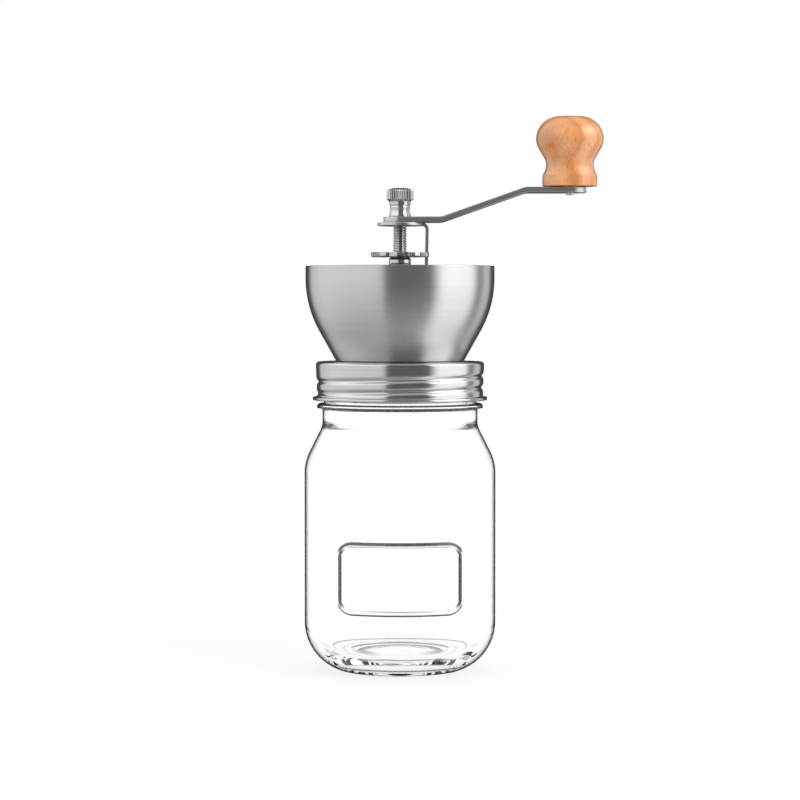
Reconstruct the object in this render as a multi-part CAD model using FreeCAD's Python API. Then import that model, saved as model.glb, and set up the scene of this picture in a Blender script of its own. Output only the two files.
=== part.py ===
"""Hand crank coffee grinder: a steel hopper with a conical ceramic burr set, screwed onto a glass jar.

Millimetres, +Z up. The origin is the centre of the jar's foot, on the surface that it stands on, and the
crank points along +X. Every piece is a solid of its own, written to parts/NAME.step.
"""

import FreeCAD
import Part
import math
import os

V = FreeCAD.Vector
ORIGIN = V(0, 0, 0)
UP = V(0, 0, 1)

# Glass jar
jar_diameter = 84.0
jar_height = 133.4
jar_wall = 3.2
jar_floor = 5.6
jar_heel_radius = 22.0
jar_heel_rise = 5.2
jar_inner_heel_radius = 16.0
jar_foot_inset = 15.2
jar_foot_width = 3.8
jar_foot_rounding = 1.2
jar_punt_rise = 3.2
jar_punt_slope = 9.0
jar_punt_rounding = 40.0
jar_lip_rounding = 1.2
jar_fillet = 0.8
finish_diameter = 66.8
finish_height = 16.2
finish_wall = 3.4
bead_overhang = 3.1
bead_height = 2.1
bead_rounding = 1.4
bead_edge_rounding = 0.3
neck_step = 0.7
neck_height = 7.9
shoulder_height = 15.8
shoulder_rounding = 20.0
neck_rounding = 8.0
label_width = 55.0
label_height = 31.6
label_middle = 43.2
label_rounding = 7.0
label_rib = 2.4
label_relief = 0.6

# Seal between the jar's lip and the screw band
seal_thickness = 1.6
seal_width = 5.0
seal_rounding = 0.3

# Screw band, pressed from sheet with a rolled thread
band_stand_off = 3.6
band_sheet = 0.5
band_height = 17.0
band_top_rounding = 1.5
band_plain_height = 7.2
band_groove_depth = 0.9
band_ridge_rise = 0.3
band_run_out_depth = 0.5
band_groove_rounding = 1.1
band_curl_reach = 1.4
band_curl_height = 1.6
band_curl_rounding = 0.72
thread_pitch = 5.08

# Hopper bowl, spun from sheet
bowl_diameter = 83.0
bowl_floor_margin = 1.5
bowl_height = 41.9
bowl_sheet = 1.0
bowl_knee_height = 24.1
bowl_side_radius = 47.0
bowl_corner_radius = 1.5
bowl_rim_rounding = 0.35
throat_ledge = 3.5

# Screws that clamp the shaft support, bowl, band and burr housing together
screw_count = 3
screw_inset = 6.0
screw_diameter = 2.9
screw_length = 13.0
screw_head_diameter = 5.5
screw_head_height = 1.9
screw_head_rounding = 1.33
screw_tip_rounding = 0.5
screw_slot_width = 0.9
screw_slot_depth = 1.0
screw_slot_length = 3.3
screw_first_angle = 90.0

# Shaft support: a tube on three struts
support_tube_diameter = 13.0
support_tube_length = 23.6
support_foot_thickness = 2.0
support_foot_width = 6.0
support_strut_thickness = 3.0
support_strut_top = 16.0
support_strut_foot = 3.5
support_strut_start = 1.0
support_rounding = 0.6

# Plain bushes in the support's tube
bush_wall = 1.45
bush_flange_thickness = 1.0
bush_flange_width = 1.9
bush_nose_rounding = 0.3
bush_flange_rounding = 0.2
upper_bush_length = 10.0
lower_bush_length = 8.0
washer_thickness = 0.8
washer_diameter = 12.0

# Drive shaft, with two flats milled at each end
shaft_diameter = 6.0
shaft_flats = 4.4
shaft_chamfer = 0.5

# Grind adjustment nut: a notched disc on a round hub
hub_diameter = 9.8
hub_height = 3.9
hub_rounding = 0.8
hub_top_chamfer = 0.9
disc_diameter = 26.0
disc_thickness = 2.1
disc_edge_rounding = 0.5
notch_count = 10
notch_depth = 2.7

# Lock plate, whose leg stands in a notch of the nut
exposed_thread = 11.5
plate_thickness = 1.5
plate_diameter = 19.8
plate_bend_radius = 3.0
plate_edge_rounding = 0.25
leg_reach = 12.3
leg_width = 4.0
leg_length = 22.0
leg_lean = 0.4

# Crank arm, bent from flat bar
crank_radius = 74.5
arm_width = 14.5
arm_thickness = 2.5
arm_rise = 13.0
arm_first_bend = 18.3
arm_second_bend = 55.0
arm_bend_radius = 7.0
arm_edge_rounding = 0.4

# Thumb nut
thumb_diameter = 11.9
thumb_height = 12.6
thumb_knurl_height = 3.9
thumb_knurl_count = 32
thumb_knurl_depth = 0.35
thumb_dome = 1.0
thumb_dome_diameter = 6.545
thumb_dome_rounding = 3.0
thumb_head_rounding = 0.5
thumb_neck_height = 1.0
thumb_shoulder_diameter = 9.3
thumb_shoulder_height = 1.8
thumb_groove_diameter = 8.3
thumb_groove_height = 0.3
thumb_bead_drop = 0.7
thumb_waist_diameter = 8.1
thumb_waist_drop = 1.4
thumb_waist_rounding = 1.2
thumb_foot_diameter = 9.6
thumb_foot_height = 0.6
thumb_edge_rounding = 0.3
thumb_fine_rounding = 0.2
thumb_bore_depth = 9.4

# Turned wooden knob on its axle
knob_height = 30.65
knob_bulb_diameter = 29.7
knob_top_rounding = 10.0
knob_bulb_foot = 18.7
knob_bulb_rounding = 8.0
knob_waist_height = 9.6
knob_waist_corner = 19.2
knob_waist_rounding = 6.0
knob_base_diameter = 24.0
knob_base_height = 4.8
knob_edge_rounding = 1.0
axle_diameter = 5.2
axle_shank_diameter = 3.3
axle_head_diameter = 8.4
axle_head_height = 1.8
axle_head_depth = 8.0
axle_head_rounding = 0.6
axle_tail_height = 0.9
axle_tail_rounding = 0.5
axle_washer_diameter = 10.0
axle_washer_thickness = 0.25
plug_edge_rounding = 0.4

# Burr set
outer_burr_inset = 3.5
outer_burr_height = 15.8
outer_burr_waist_height = 7.0
outer_burr_teeth = 24
outer_burr_rounding = 0.6
outer_tooth_depth = 1.1
burr_ring_width = 4.4
inner_burr_top_wall = 2.4
inner_burr_height = 15.8
inner_burr_drop = 0.8
inner_burr_teeth = 15
inner_tooth_depth = 1.2
inner_top_tooth_depth = 0.9
burr_twist = 32.0
burr_gap = 0.75
burr_key_radius = 1.2
tooth_back_share = 0.78

# Burr housing
housing_lip = 1.7
housing_wall = 2.85
housing_flange_thickness = 3.5
housing_boss_diameter = 6.4
housing_boss_length = 13.0
housing_rib_thickness = 2.0
housing_rib_inset = 1.0
housing_edge_rounding = 0.4
housing_fillet = 0.6
housing_bottom_rounding = 1.2

# Burr carrier, the keyed hub that drives the inner burr
carrier_diameter = 12.0
carrier_flange_diameter = 18.8
carrier_flange_thickness = 2.5
carrier_recess_depth = 4.5
carrier_rise = 2.5
carrier_key_width = 2.4
carrier_key_height = 1.1
carrier_key_count = 3
carrier_rounding = 0.5
burr_nut_across_flats = 10.0
burr_nut_height = 3.5
burr_nut_chamfer = 0.6
shaft_tail = 0.5

# Spring that pushes the inner burr down
spring_wire = 1.0
spring_diameter = 9.2
spring_turns = 4.25

# Clearances
running_clearance = 0.05
seat_clearance = 0.1
free_clearance = 0.3
mouth_clearance = 0.5

# How far a cutting tool runs past the face that it opens
overrun = 1.0

# Heights, stacked from the foot upwards
bead_top = jar_height - finish_height
bead_bottom = bead_top - bead_height
shoulder_top = bead_bottom - neck_height
shoulder_bottom = shoulder_top - shoulder_height
band_inside = jar_height + seal_thickness
band_top = band_inside + band_sheet
bowl_floor = band_top + bowl_sheet
bowl_rim = band_top + bowl_height
foot_top = bowl_floor + support_foot_thickness
hub_bottom = bowl_rim
thrust_washer_bottom = hub_bottom - washer_thickness
tube_top = thrust_washer_bottom - bush_flange_thickness
tube_bottom = tube_top - support_tube_length
spring_top = tube_bottom - bush_flange_thickness - washer_thickness
disc_bottom = hub_bottom + hub_height
disc_top = disc_bottom + disc_thickness
plate_bottom = disc_top + exposed_thread
arm_bottom = plate_bottom + plate_thickness
arm_top = arm_bottom + arm_thickness
thumb_top = arm_top + thumb_height
knob_seat = arm_top + arm_rise
knob_bottom = knob_seat + axle_washer_thickness + seat_clearance
knob_top = knob_bottom + knob_height
outer_burr_top = band_inside - seat_clearance
outer_burr_bottom = outer_burr_top - outer_burr_height
housing_bottom = outer_burr_bottom - housing_lip
inner_burr_bottom = outer_burr_bottom - inner_burr_drop
inner_burr_top = inner_burr_bottom + inner_burr_height
carrier_seat = inner_burr_bottom + carrier_recess_depth
carrier_bottom = carrier_seat - carrier_flange_thickness
carrier_top = inner_burr_top + carrier_rise
burr_nut_bottom = carrier_bottom - burr_nut_height
shaft_bottom = burr_nut_bottom - shaft_tail
thumb_bore_top = arm_top + thumb_bore_depth
shaft_top = thumb_bore_top - seat_clearance

# Diameters, stacked outwards and inwards from the jar's finish
bead_diameter = finish_diameter + 2 * bead_overhang
neck_diameter = finish_diameter + 2 * neck_step
band_diameter = finish_diameter + 2 * band_stand_off
band_curl_diameter = band_diameter + 2 * band_curl_reach
jar_mouth_diameter = finish_diameter - 2 * finish_wall
housing_flange_diameter = jar_mouth_diameter - 2 * mouth_clearance
screw_circle = housing_flange_diameter - 2 * screw_inset
bowl_base_diameter = screw_circle + support_foot_width + 2 * bowl_floor_margin
outer_burr_diameter = screw_circle - 2 * outer_burr_inset
throat_diameter = outer_burr_diameter - 2 * throat_ledge
inner_burr_diameter = outer_burr_diameter - 2 * burr_ring_width
inner_burr_top_diameter = carrier_diameter + 2 * (carrier_key_height + inner_burr_top_wall)

# Radii that several pieces share
jar_radius = jar_diameter / 2
shaft_radius = shaft_diameter / 2
shaft_hole_radius = shaft_radius + running_clearance
bush_radius = shaft_hole_radius + bush_wall
screw_circle_radius = screw_circle / 2
screw_hole_radius = screw_diameter / 2 + seat_clearance
throat_radius = throat_diameter / 2
outer_burr_radius = outer_burr_diameter / 2
housing_bore_radius = outer_burr_radius + seat_clearance
housing_radius = housing_bore_radius + housing_wall
notch_width = leg_width + 2 * free_clearance
burr_slope = (inner_burr_diameter - inner_burr_top_diameter) / 2 / inner_burr_height


def unit(x, z):
    """The unit vector along (x, z) as a pair."""
    length = math.hypot(x, z)
    return x / length, z / length


def point(x, z):
    """A point in the XZ plane."""
    return V(x, 0, z)


def corner_arc(before, corner, after):
    """Start, middle and end of the arc that rounds a corner (x, z, radius) between its two neighbours."""
    x, z, radius = corner
    ux, uz = unit(before[0] - x, before[1] - z)
    vx, vz = unit(after[0] - x, after[1] - z)
    half = math.acos(max(-1.0, min(1.0, ux * vx + uz * vz))) / 2
    run = radius / math.tan(half)
    bx, bz = unit(ux + vx, uz + vz)
    reach = radius / math.sin(half) - radius
    return (
        point(x + ux * run, z + uz * run),
        point(x + bx * reach, z + bz * reach),
        point(x + vx * run, z + vz * run),
    )


def rounded_wire(corners):
    """Closed wire in the XZ plane through corners (x, z, radius), each rounded by a tangent arc."""
    pieces = []
    for i, corner in enumerate(corners):
        if corner[2] > 0:
            pieces.append(corner_arc(corners[i - 1], corner, corners[(i + 1) % len(corners)]))
        else:
            pieces.append((point(corner[0], corner[1]),))
    edges = []
    for i, piece in enumerate(pieces):
        if len(piece) == 3:
            edges.append(Part.Arc(*piece).toShape())
        start = piece[-1]
        end = pieces[(i + 1) % len(pieces)][0]
        if start.distanceToPoint(end) > 1e-7:
            edges.append(Part.LineSegment(start, end).toShape())
    return Part.Wire(edges)


def rounded_face(corners):
    """Face in the XZ plane inside a rounded outline."""
    return Part.Face(rounded_wire(corners))


def revolved(corners):
    """Solid of revolution about Z of a rounded outline."""
    return rounded_face(corners).revolve(ORIGIN, UP, 360)


def offset_corners(path, distance):
    """An open path of corners (x, z, radius) moved to the left of its travel, with radii to match."""
    normals = []
    for (x0, z0, _), (x1, z1, _) in zip(path, path[1:]):
        dx, dz = unit(x1 - x0, z1 - z0)
        normals.append((-dz, dx))
    moved = []
    for i, (x, z, radius) in enumerate(path):
        ax, az = normals[max(i - 1, 0)]
        bx, bz = normals[min(i, len(normals) - 1)]
        share = distance / (1 + ax * bx + az * bz)
        turns_left = ax * bz - az * bx > 0
        new_radius = radius - distance if turns_left else radius + distance
        moved.append((x + (ax + bx) * share, z + (az + bz) * share, max(new_radius, 0) if radius else 0))
    return moved


def sheet_corners(path, thickness):
    """Closed outline of a sheet whose right-hand face follows the path."""
    return path + offset_corners(path, thickness)[::-1]


def ring(outer_radius, inner_radius, bottom, height, rounding=0.0):
    """Flat ring about Z with rounded edges."""
    top = bottom + height
    return revolved(
        [
            (inner_radius, bottom, rounding),
            (outer_radius, bottom, rounding),
            (outer_radius, top, rounding),
            (inner_radius, top, rounding),
        ]
    )


def cylinder(radius, bottom, top, x=0.0, y=0.0):
    """Upright cylinder."""
    return Part.makeCylinder(radius, top - bottom, V(x, y, bottom), UP)


def around(shape, count, first_angle=0.0):
    """Copies of a shape, evenly spaced about Z."""
    copies = []
    for i in range(count):
        copy = shape.copy()
        copy.rotate(ORIGIN, UP, first_angle + 360.0 * i / count)
        copies.append(copy)
    return copies


def at_screws(shape):
    """Copies of a shape made at angle 0, one at each clamping screw."""
    return around(shape, screw_count, screw_first_angle)


def at_keys(shape):
    """Copies of a shape made at angle 0, halfway between the clamping screws."""
    return around(shape, screw_count, screw_first_angle + 180.0 / screw_count)


def flatted_prism(clearance, bottom, top):
    """The shaft's flatted section, a circle cut by two flats, grown by a clearance."""
    width = shaft_flats + 2 * clearance
    radius = shaft_radius + clearance
    slab = Part.makeBox(4 * radius, width, top - bottom, V(-2 * radius, -width / 2, bottom))
    return cylinder(radius, bottom, top).common(slab)


def make_jar():
    """Moulded glass jar: domed punt, foot ring, round heel, sloping shoulder, neck bead and label frame."""
    foot_outer = jar_radius - jar_foot_inset
    foot_inner = foot_outer - jar_foot_width
    inner_radius = jar_radius - jar_wall
    neck = neck_diameter / 2
    bead = bead_diameter / 2
    finish = finish_diameter / 2
    mouth = jar_mouth_diameter / 2
    outside = [
        (0, jar_punt_rise, 0),
        (foot_inner - jar_punt_slope, jar_punt_rise, jar_punt_rounding),
        (foot_inner, 0, jar_foot_rounding),
        (foot_outer, 0, jar_foot_rounding),
        (jar_radius, jar_heel_rise, jar_heel_radius),
        (jar_radius, shoulder_bottom, shoulder_rounding),
        (neck, shoulder_top, neck_rounding),
        (neck, bead_bottom, jar_fillet),
        (bead, bead_bottom, bead_edge_rounding),
        (bead, bead_top, bead_rounding),
        (finish, bead_top, jar_fillet),
        (finish, jar_height, jar_lip_rounding),
    ]
    inside = [
        (mouth, jar_height, jar_lip_rounding),
        (mouth, shoulder_top + jar_wall / 2, neck_rounding + jar_wall),
        (inner_radius, shoulder_bottom - jar_wall / 2, shoulder_rounding - jar_wall),
        (inner_radius, jar_floor, jar_inner_heel_radius),
        (0, jar_floor, 0),
    ]
    return revolved(outside + inside).fuse(label_frame())


def label_frame():
    """Raised rounded rectangle on the jar's front, a rib that follows the glass."""
    half_width = label_width / 2
    half_height = label_height / 2

    def outline(inset):
        return rounded_wire(
            [
                (-half_width + inset, label_middle - half_height + inset, label_rounding - inset),
                (half_width - inset, label_middle - half_height + inset, label_rounding - inset),
                (half_width - inset, label_middle + half_height - inset, label_rounding - inset),
                (-half_width + inset, label_middle + half_height - inset, label_rounding - inset),
            ]
        )

    band = Part.Face(outline(0)).cut(Part.Face(outline(label_rib)))
    frame = band.extrude(V(0, -2 * jar_radius, 0))
    skin = ring(
        jar_radius + label_relief,
        jar_radius - jar_wall / 2,
        label_middle - label_height,
        2 * label_height,
    )
    return frame.common(skin)


def make_jar_seal():
    """Flat silicone ring that lies on the jar's lip, around the housing's flange."""
    inner = housing_flange_diameter / 2 + free_clearance
    return ring(inner + seal_width, inner, jar_height, seal_thickness, seal_rounding)


def make_screw_band():
    """Pressed steel cap: a top plate with the throat hole, a rolled thread and a curled lower edge."""
    radius = band_diameter / 2
    groove = radius - band_groove_depth
    run_out = radius - band_run_out_depth
    first_groove = band_top - band_plain_height - thread_pitch / 3
    ridge = first_groove - thread_pitch / 2
    second_groove = first_groove - thread_pitch
    curl_top = band_top - band_height + band_curl_height
    wall_path = [
        (throat_radius + free_clearance, band_top, 0),
        (radius, band_top, band_top_rounding),
        (radius, band_top - band_plain_height, band_groove_rounding),
        (groove, first_groove, band_groove_rounding),
        (radius + band_ridge_rise, ridge, band_groove_rounding),
        (run_out, second_groove, band_groove_rounding),
        (run_out, curl_top, 0),
    ]
    inner_path = offset_corners(wall_path, -band_sheet)
    curl = band_curl_diameter / 2
    outline = wall_path + [
        (curl, curl_top, band_curl_rounding),
        (curl, curl_top - band_curl_height, band_curl_rounding),
        (run_out - band_sheet, curl_top - band_curl_height, 0),
    ]
    plate = revolved(outline + inner_path[-2::-1])
    hole = cylinder(screw_hole_radius, band_inside - overrun, band_top + overrun, screw_circle_radius)
    return plate.cut(at_screws(hole))


def bowl_path():
    """The bowl's outer face from the throat to the rim."""
    return [
        (throat_radius, band_top, 0),
        (bowl_base_diameter / 2, band_top, bowl_corner_radius),
        (bowl_diameter / 2, band_top + bowl_knee_height, bowl_side_radius),
        (bowl_diameter / 2, bowl_rim, 0),
    ]


def make_hopper_bowl():
    """Spun steel bowl, open at the throat, with holes for the clamping screws."""
    outline = sheet_corners(bowl_path(), bowl_sheet)
    rim = len(bowl_path())
    for i in (rim - 1, rim):
        outline[i] = (outline[i][0], outline[i][1], bowl_rim_rounding)
    hole = cylinder(screw_hole_radius, band_top - overrun, bowl_floor + overrun, screw_circle_radius)
    return revolved(outline).cut(at_screws(hole))


def make_shaft_support():
    """Moulded tube for the bushes, carried over the throat on struts with a screw foot each."""
    tube_radius = support_tube_diameter / 2
    bore = bush_radius + running_clearance
    waist = shaft_hole_radius + free_clearance
    upper_step = tube_top - upper_bush_length
    lower_step = tube_bottom + lower_bush_length
    tube = revolved(
        [
            (bore, tube_bottom, 0),
            (tube_radius, tube_bottom, support_rounding),
            (tube_radius, tube_top, support_rounding),
            (bore, tube_top, 0),
            (bore, upper_step, 0),
            (waist, upper_step, 0),
            (waist, lower_step, 0),
            (bore, lower_step, 0),
        ]
    )
    foot_inner = throat_radius + free_clearance
    foot_outer = screw_circle_radius + support_foot_width / 2
    strut_outer = screw_circle_radius - screw_head_diameter / 2 - free_clearance
    strut_face = rounded_face(
        [
            (strut_outer - support_strut_foot, bowl_floor + support_foot_thickness / 2, 0),
            (strut_outer, bowl_floor + support_foot_thickness / 2, 0),
            (strut_outer, foot_top, 0),
            (tube_radius - bush_wall / 2, tube_bottom + support_strut_top, 0),
            (tube_radius - bush_wall / 2, tube_bottom + support_strut_start, 0),
            (strut_outer - support_strut_foot, foot_top, 0),
        ]
    )
    strut = strut_face.extrude(V(0, support_strut_thickness, 0))
    strut.translate(V(0, -support_strut_thickness / 2, 0))
    foot = cylinder(support_foot_width / 2, bowl_floor, foot_top, screw_circle_radius).fuse(
        Part.makeBox(
            foot_outer - support_foot_width / 2 - foot_inner,
            support_foot_width,
            support_foot_thickness,
            V(foot_inner, -support_foot_width / 2, bowl_floor),
        )
    )
    hole = cylinder(screw_hole_radius, bowl_floor - overrun, foot_top + overrun, screw_circle_radius)
    leg = strut.fuse(foot).cut(hole)
    return tube.fuse(at_screws(leg)).removeSplitter()


def make_bush(seat, length, flange_side):
    """Flanged plain bush that seats its flange on one end of the support's tube."""
    flange_radius = bush_radius + bush_flange_width
    rim = seat + flange_side * bush_flange_thickness
    end = seat - flange_side * (length - seat_clearance)
    return revolved(
        [
            (shaft_hole_radius, end, 0),
            (bush_radius, end, bush_nose_rounding),
            (bush_radius, seat, 0),
            (flange_radius, seat, 0),
            (flange_radius, rim, bush_flange_rounding),
            (shaft_hole_radius, rim, 0),
        ]
    )


def make_screws():
    """Pan-head screws with a cross slot, one above each foot of the support."""
    head_top = foot_top + screw_head_height
    screw = revolved(
        [
            (0, foot_top - screw_length, 0),
            (screw_diameter / 2, foot_top - screw_length, screw_tip_rounding),
            (screw_diameter / 2, foot_top, 0),
            (screw_head_diameter / 2, foot_top, 0),
            (screw_head_diameter / 2, head_top, screw_head_rounding),
            (0, head_top, 0),
        ]
    )
    for length, width in ((screw_slot_length, screw_slot_width), (screw_slot_width, screw_slot_length)):
        corner = V(-length / 2, -width / 2, head_top - screw_slot_depth)
        screw = screw.cut(Part.makeBox(length, width, 2 * screw_slot_depth, corner))
    screw.translate(V(screw_circle_radius, 0, 0))
    return Part.makeCompound(at_screws(screw))


def make_burr_housing():
    """Moulded cup for the outer burr, with a flange under the band, screw bosses, ribs and burr keys."""
    flange = housing_flange_diameter / 2
    flange_bottom = band_inside - housing_flange_thickness
    lip_radius = inner_burr_diameter / 2 + 2 * burr_gap
    cup = revolved(
        [
            (lip_radius, housing_bottom, housing_edge_rounding),
            (housing_radius, housing_bottom, housing_bottom_rounding),
            (housing_radius, flange_bottom, housing_fillet),
            (flange, flange_bottom, housing_fillet),
            (flange, band_inside, housing_edge_rounding),
            (housing_bore_radius, band_inside, 0),
            (housing_bore_radius, outer_burr_bottom, 0),
            (lip_radius, outer_burr_bottom, 0),
        ]
    )
    boss_bottom = band_inside - housing_boss_length
    boss = cylinder(housing_boss_diameter / 2, boss_bottom, band_inside, screw_circle_radius)
    rib = rounded_face(
        [
            (housing_radius - housing_wall / 2, boss_bottom, 0),
            (housing_radius, boss_bottom, 0),
            (flange - housing_rib_inset, flange_bottom, 0),
            (flange - housing_rib_inset, flange_bottom + housing_flange_thickness / 2, 0),
            (housing_radius - housing_wall / 2, flange_bottom + housing_flange_thickness / 2, 0),
        ]
    ).extrude(V(0, housing_rib_thickness, 0))
    rib.translate(V(0, -housing_rib_thickness / 2, 0))
    key = cylinder(
        burr_key_radius,
        outer_burr_bottom - housing_lip / 2,
        outer_burr_top - outer_burr_height / 3,
        housing_bore_radius + burr_key_radius / 4,
    )
    hole_radius = screw_diameter / 2 + running_clearance
    hole_bottom = foot_top - screw_length - overrun
    hole = cylinder(hole_radius, hole_bottom, band_inside + overrun, screw_circle_radius)
    body = cup.fuse(at_screws(boss) + at_keys(rib) + at_keys(key))
    return body.cut(at_screws(hole)).removeSplitter()


def toothed_wire(z, crest, root, teeth, twist):
    """Saw-tooth polygon about Z: each tooth has a long back and a steep cutting face."""
    points = []
    for i in range(teeth):
        for share, radius in ((0.0, root), (tooth_back_share, crest)):
            angle = math.radians(360.0 * (i + share) / teeth + twist)
            points.append(V(radius * math.cos(angle), radius * math.sin(angle), z))
    return Part.makePolygon(points + points[:1])


def inner_crest(z):
    """Radius over the inner burr's teeth at a height."""
    return inner_burr_diameter / 2 - burr_slope * (z - inner_burr_bottom)


def make_outer_burr():
    """Ceramic ring, toothed inside: a funnel down to a waist, then a cone that opens to the bottom edge."""
    waist = outer_burr_bottom + outer_burr_waist_height
    levels = [
        (outer_burr_bottom, inner_crest(outer_burr_bottom) + burr_gap),
        (waist, inner_crest(waist) + burr_gap),
        (outer_burr_top, throat_radius - seat_clearance),
    ]
    wires = []
    for z, crest in levels:
        turn = -burr_twist * (z - outer_burr_bottom) / outer_burr_height
        wires.append(toothed_wire(z, crest, crest + outer_tooth_depth, outer_burr_teeth, turn))
    hole = Part.makeLoft(wires, True, True)
    core = inner_burr_diameter / 4
    body = ring(outer_burr_radius, core, outer_burr_bottom, outer_burr_height, outer_burr_rounding)
    groove = cylinder(
        burr_key_radius + seat_clearance,
        outer_burr_bottom - overrun,
        outer_burr_top - outer_burr_height / 3 + seat_clearance,
        housing_bore_radius + burr_key_radius / 4,
    )
    return body.cut([hole] + at_keys(groove))


def carrier_keys(clearance, bottom, top):
    """Key blocks round the carrier's stem, grown by a clearance for the burr's key ways."""
    width = carrier_key_width + 2 * clearance
    reach = carrier_diameter / 2 + carrier_key_height + clearance
    key = Part.makeBox(reach, width, top - bottom, V(0, -width / 2, bottom))
    return around(key, carrier_key_count)


def make_inner_burr():
    """Ceramic cone with twisted saw teeth, a keyed bore and a recess below for the carrier's flange."""
    middle = inner_burr_bottom + inner_burr_height / 2
    wires = []
    for z in (inner_burr_bottom, middle, inner_burr_top):
        share = (z - inner_burr_bottom) / inner_burr_height
        depth = inner_tooth_depth + (inner_top_tooth_depth - inner_tooth_depth) * share
        crest = inner_crest(z)
        wires.append(toothed_wire(z, crest, crest - depth, inner_burr_teeth, burr_twist * share))
    cone = Part.makeLoft(wires, True, True)
    low = inner_burr_bottom - overrun
    high = inner_burr_top + overrun
    bore = cylinder(carrier_diameter / 2 + seat_clearance, low, high)
    recess = cylinder(carrier_flange_diameter / 2 + free_clearance, low, carrier_seat)
    key_ways = carrier_keys(seat_clearance, low, high)
    return cone.cut([bore, recess] + key_ways)


def make_burr_carrier():
    """Moulded hub: a flange under the inner burr, a keyed stem through it and a flatted shaft hole."""
    stem = revolved(
        [
            (0, carrier_bottom, 0),
            (carrier_flange_diameter / 2, carrier_bottom, carrier_rounding),
            (carrier_flange_diameter / 2, carrier_seat, 0),
            (carrier_diameter / 2, carrier_seat, 0),
            (carrier_diameter / 2, carrier_top, carrier_rounding),
            (0, carrier_top, 0),
        ]
    )
    keys = carrier_keys(0, carrier_seat - carrier_flange_thickness / 2, inner_burr_top)
    hole = flatted_prism(running_clearance, carrier_bottom - overrun, carrier_top + overrun)
    return stem.fuse(keys).cut(hole).removeSplitter()


def make_burr_nut():
    """Hexagon nut under the carrier."""
    radius = burr_nut_across_flats / 2 / math.cos(math.pi / 6)
    corners = [V(radius * math.cos(a), radius * math.sin(a), burr_nut_bottom) for a in hexagon_angles()]
    prism = Part.Face(Part.makePolygon(corners + corners[:1])).extrude(V(0, 0, burr_nut_height))
    barrel = revolved(
        [
            (shaft_hole_radius, burr_nut_bottom, 0),
            (radius - burr_nut_chamfer, burr_nut_bottom, 0),
            (radius, burr_nut_bottom + burr_nut_chamfer / 2, 0),
            (radius, carrier_bottom - burr_nut_chamfer / 2, 0),
            (radius - burr_nut_chamfer, carrier_bottom, 0),
            (shaft_hole_radius, carrier_bottom, 0),
        ]
    )
    return barrel.common(prism)


def hexagon_angles():
    """The six corner angles of a hexagon."""
    return [math.pi * i / 3 for i in range(6)]


def make_drive_shaft():
    """Steel rod with chamfered ends and two flats milled on its top and bottom ends."""
    rod = revolved(
        [
            (0, shaft_bottom, 0),
            (shaft_radius - shaft_chamfer, shaft_bottom, 0),
            (shaft_radius, shaft_bottom + shaft_chamfer, 0),
            (shaft_radius, shaft_top - shaft_chamfer, 0),
            (shaft_radius - shaft_chamfer, shaft_top, 0),
            (0, shaft_top, 0),
        ]
    )
    size = shaft_diameter
    for low, high in ((shaft_bottom - overrun, carrier_top), (plate_bottom, shaft_top + overrun)):
        for side in (-1, 1):
            near = shaft_flats / 2 if side > 0 else -shaft_flats / 2 - size
            rod = rod.cut(Part.makeBox(2 * size, size, high - low, V(-size, near, low)))
    return rod


def make_thrust_washer():
    """Flat washer between the upper bush and the adjusting nut."""
    return ring(washer_diameter / 2, shaft_hole_radius, thrust_washer_bottom, washer_thickness)


def make_spring_washer():
    """Flat washer between the lower bush and the spring."""
    return ring(washer_diameter / 2, shaft_hole_radius, spring_top, washer_thickness)


def make_adjusting_nut():
    """Round hub with a notched disc on top, threaded on the shaft."""
    hub = hub_diameter / 2
    disc = disc_diameter / 2
    body = revolved(
        [
            (shaft_hole_radius, hub_bottom, 0),
            (hub, hub_bottom, hub_rounding),
            (hub, disc_bottom - hub_top_chamfer, hub_rounding),
            (hub - hub_top_chamfer, disc_bottom, 0),
            (disc, disc_bottom, disc_edge_rounding),
            (disc, disc_top, disc_edge_rounding),
            (shaft_hole_radius, disc_top, 0),
        ]
    )
    floor = disc - notch_depth
    half = notch_width / 2
    corners = [V(floor, -half, 0), V(2 * disc, -half, 0), V(2 * disc, half, 0), V(floor, half, 0)]
    notch = Part.Face(Part.makePolygon(corners + corners[:1])).extrude(V(0, 0, 3 * disc_thickness))
    notch.translate(V(0, 0, disc_bottom - disc_thickness))
    return body.cut(around(notch, notch_count))


def make_lock_plate():
    """Round plate on the shaft's flats with one tab bent down into a notch of the adjusting nut."""
    plate = ring(plate_diameter / 2, shaft_radius / 2, plate_bottom, plate_thickness, plate_edge_rounding)
    path = [
        (leg_reach, arm_bottom - leg_length, 0),
        (leg_reach + leg_lean, arm_bottom, plate_bend_radius),
        (shaft_diameter, arm_bottom, 0),
    ]
    tab = rounded_face(sheet_corners(path, plate_thickness)).extrude(V(0, leg_width, 0))
    tab.translate(V(0, -leg_width / 2, 0))
    hole = flatted_prism(running_clearance, plate_bottom - overrun, arm_bottom + overrun)
    return plate.fuse(tab).cut(hole).removeSplitter()


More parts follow.
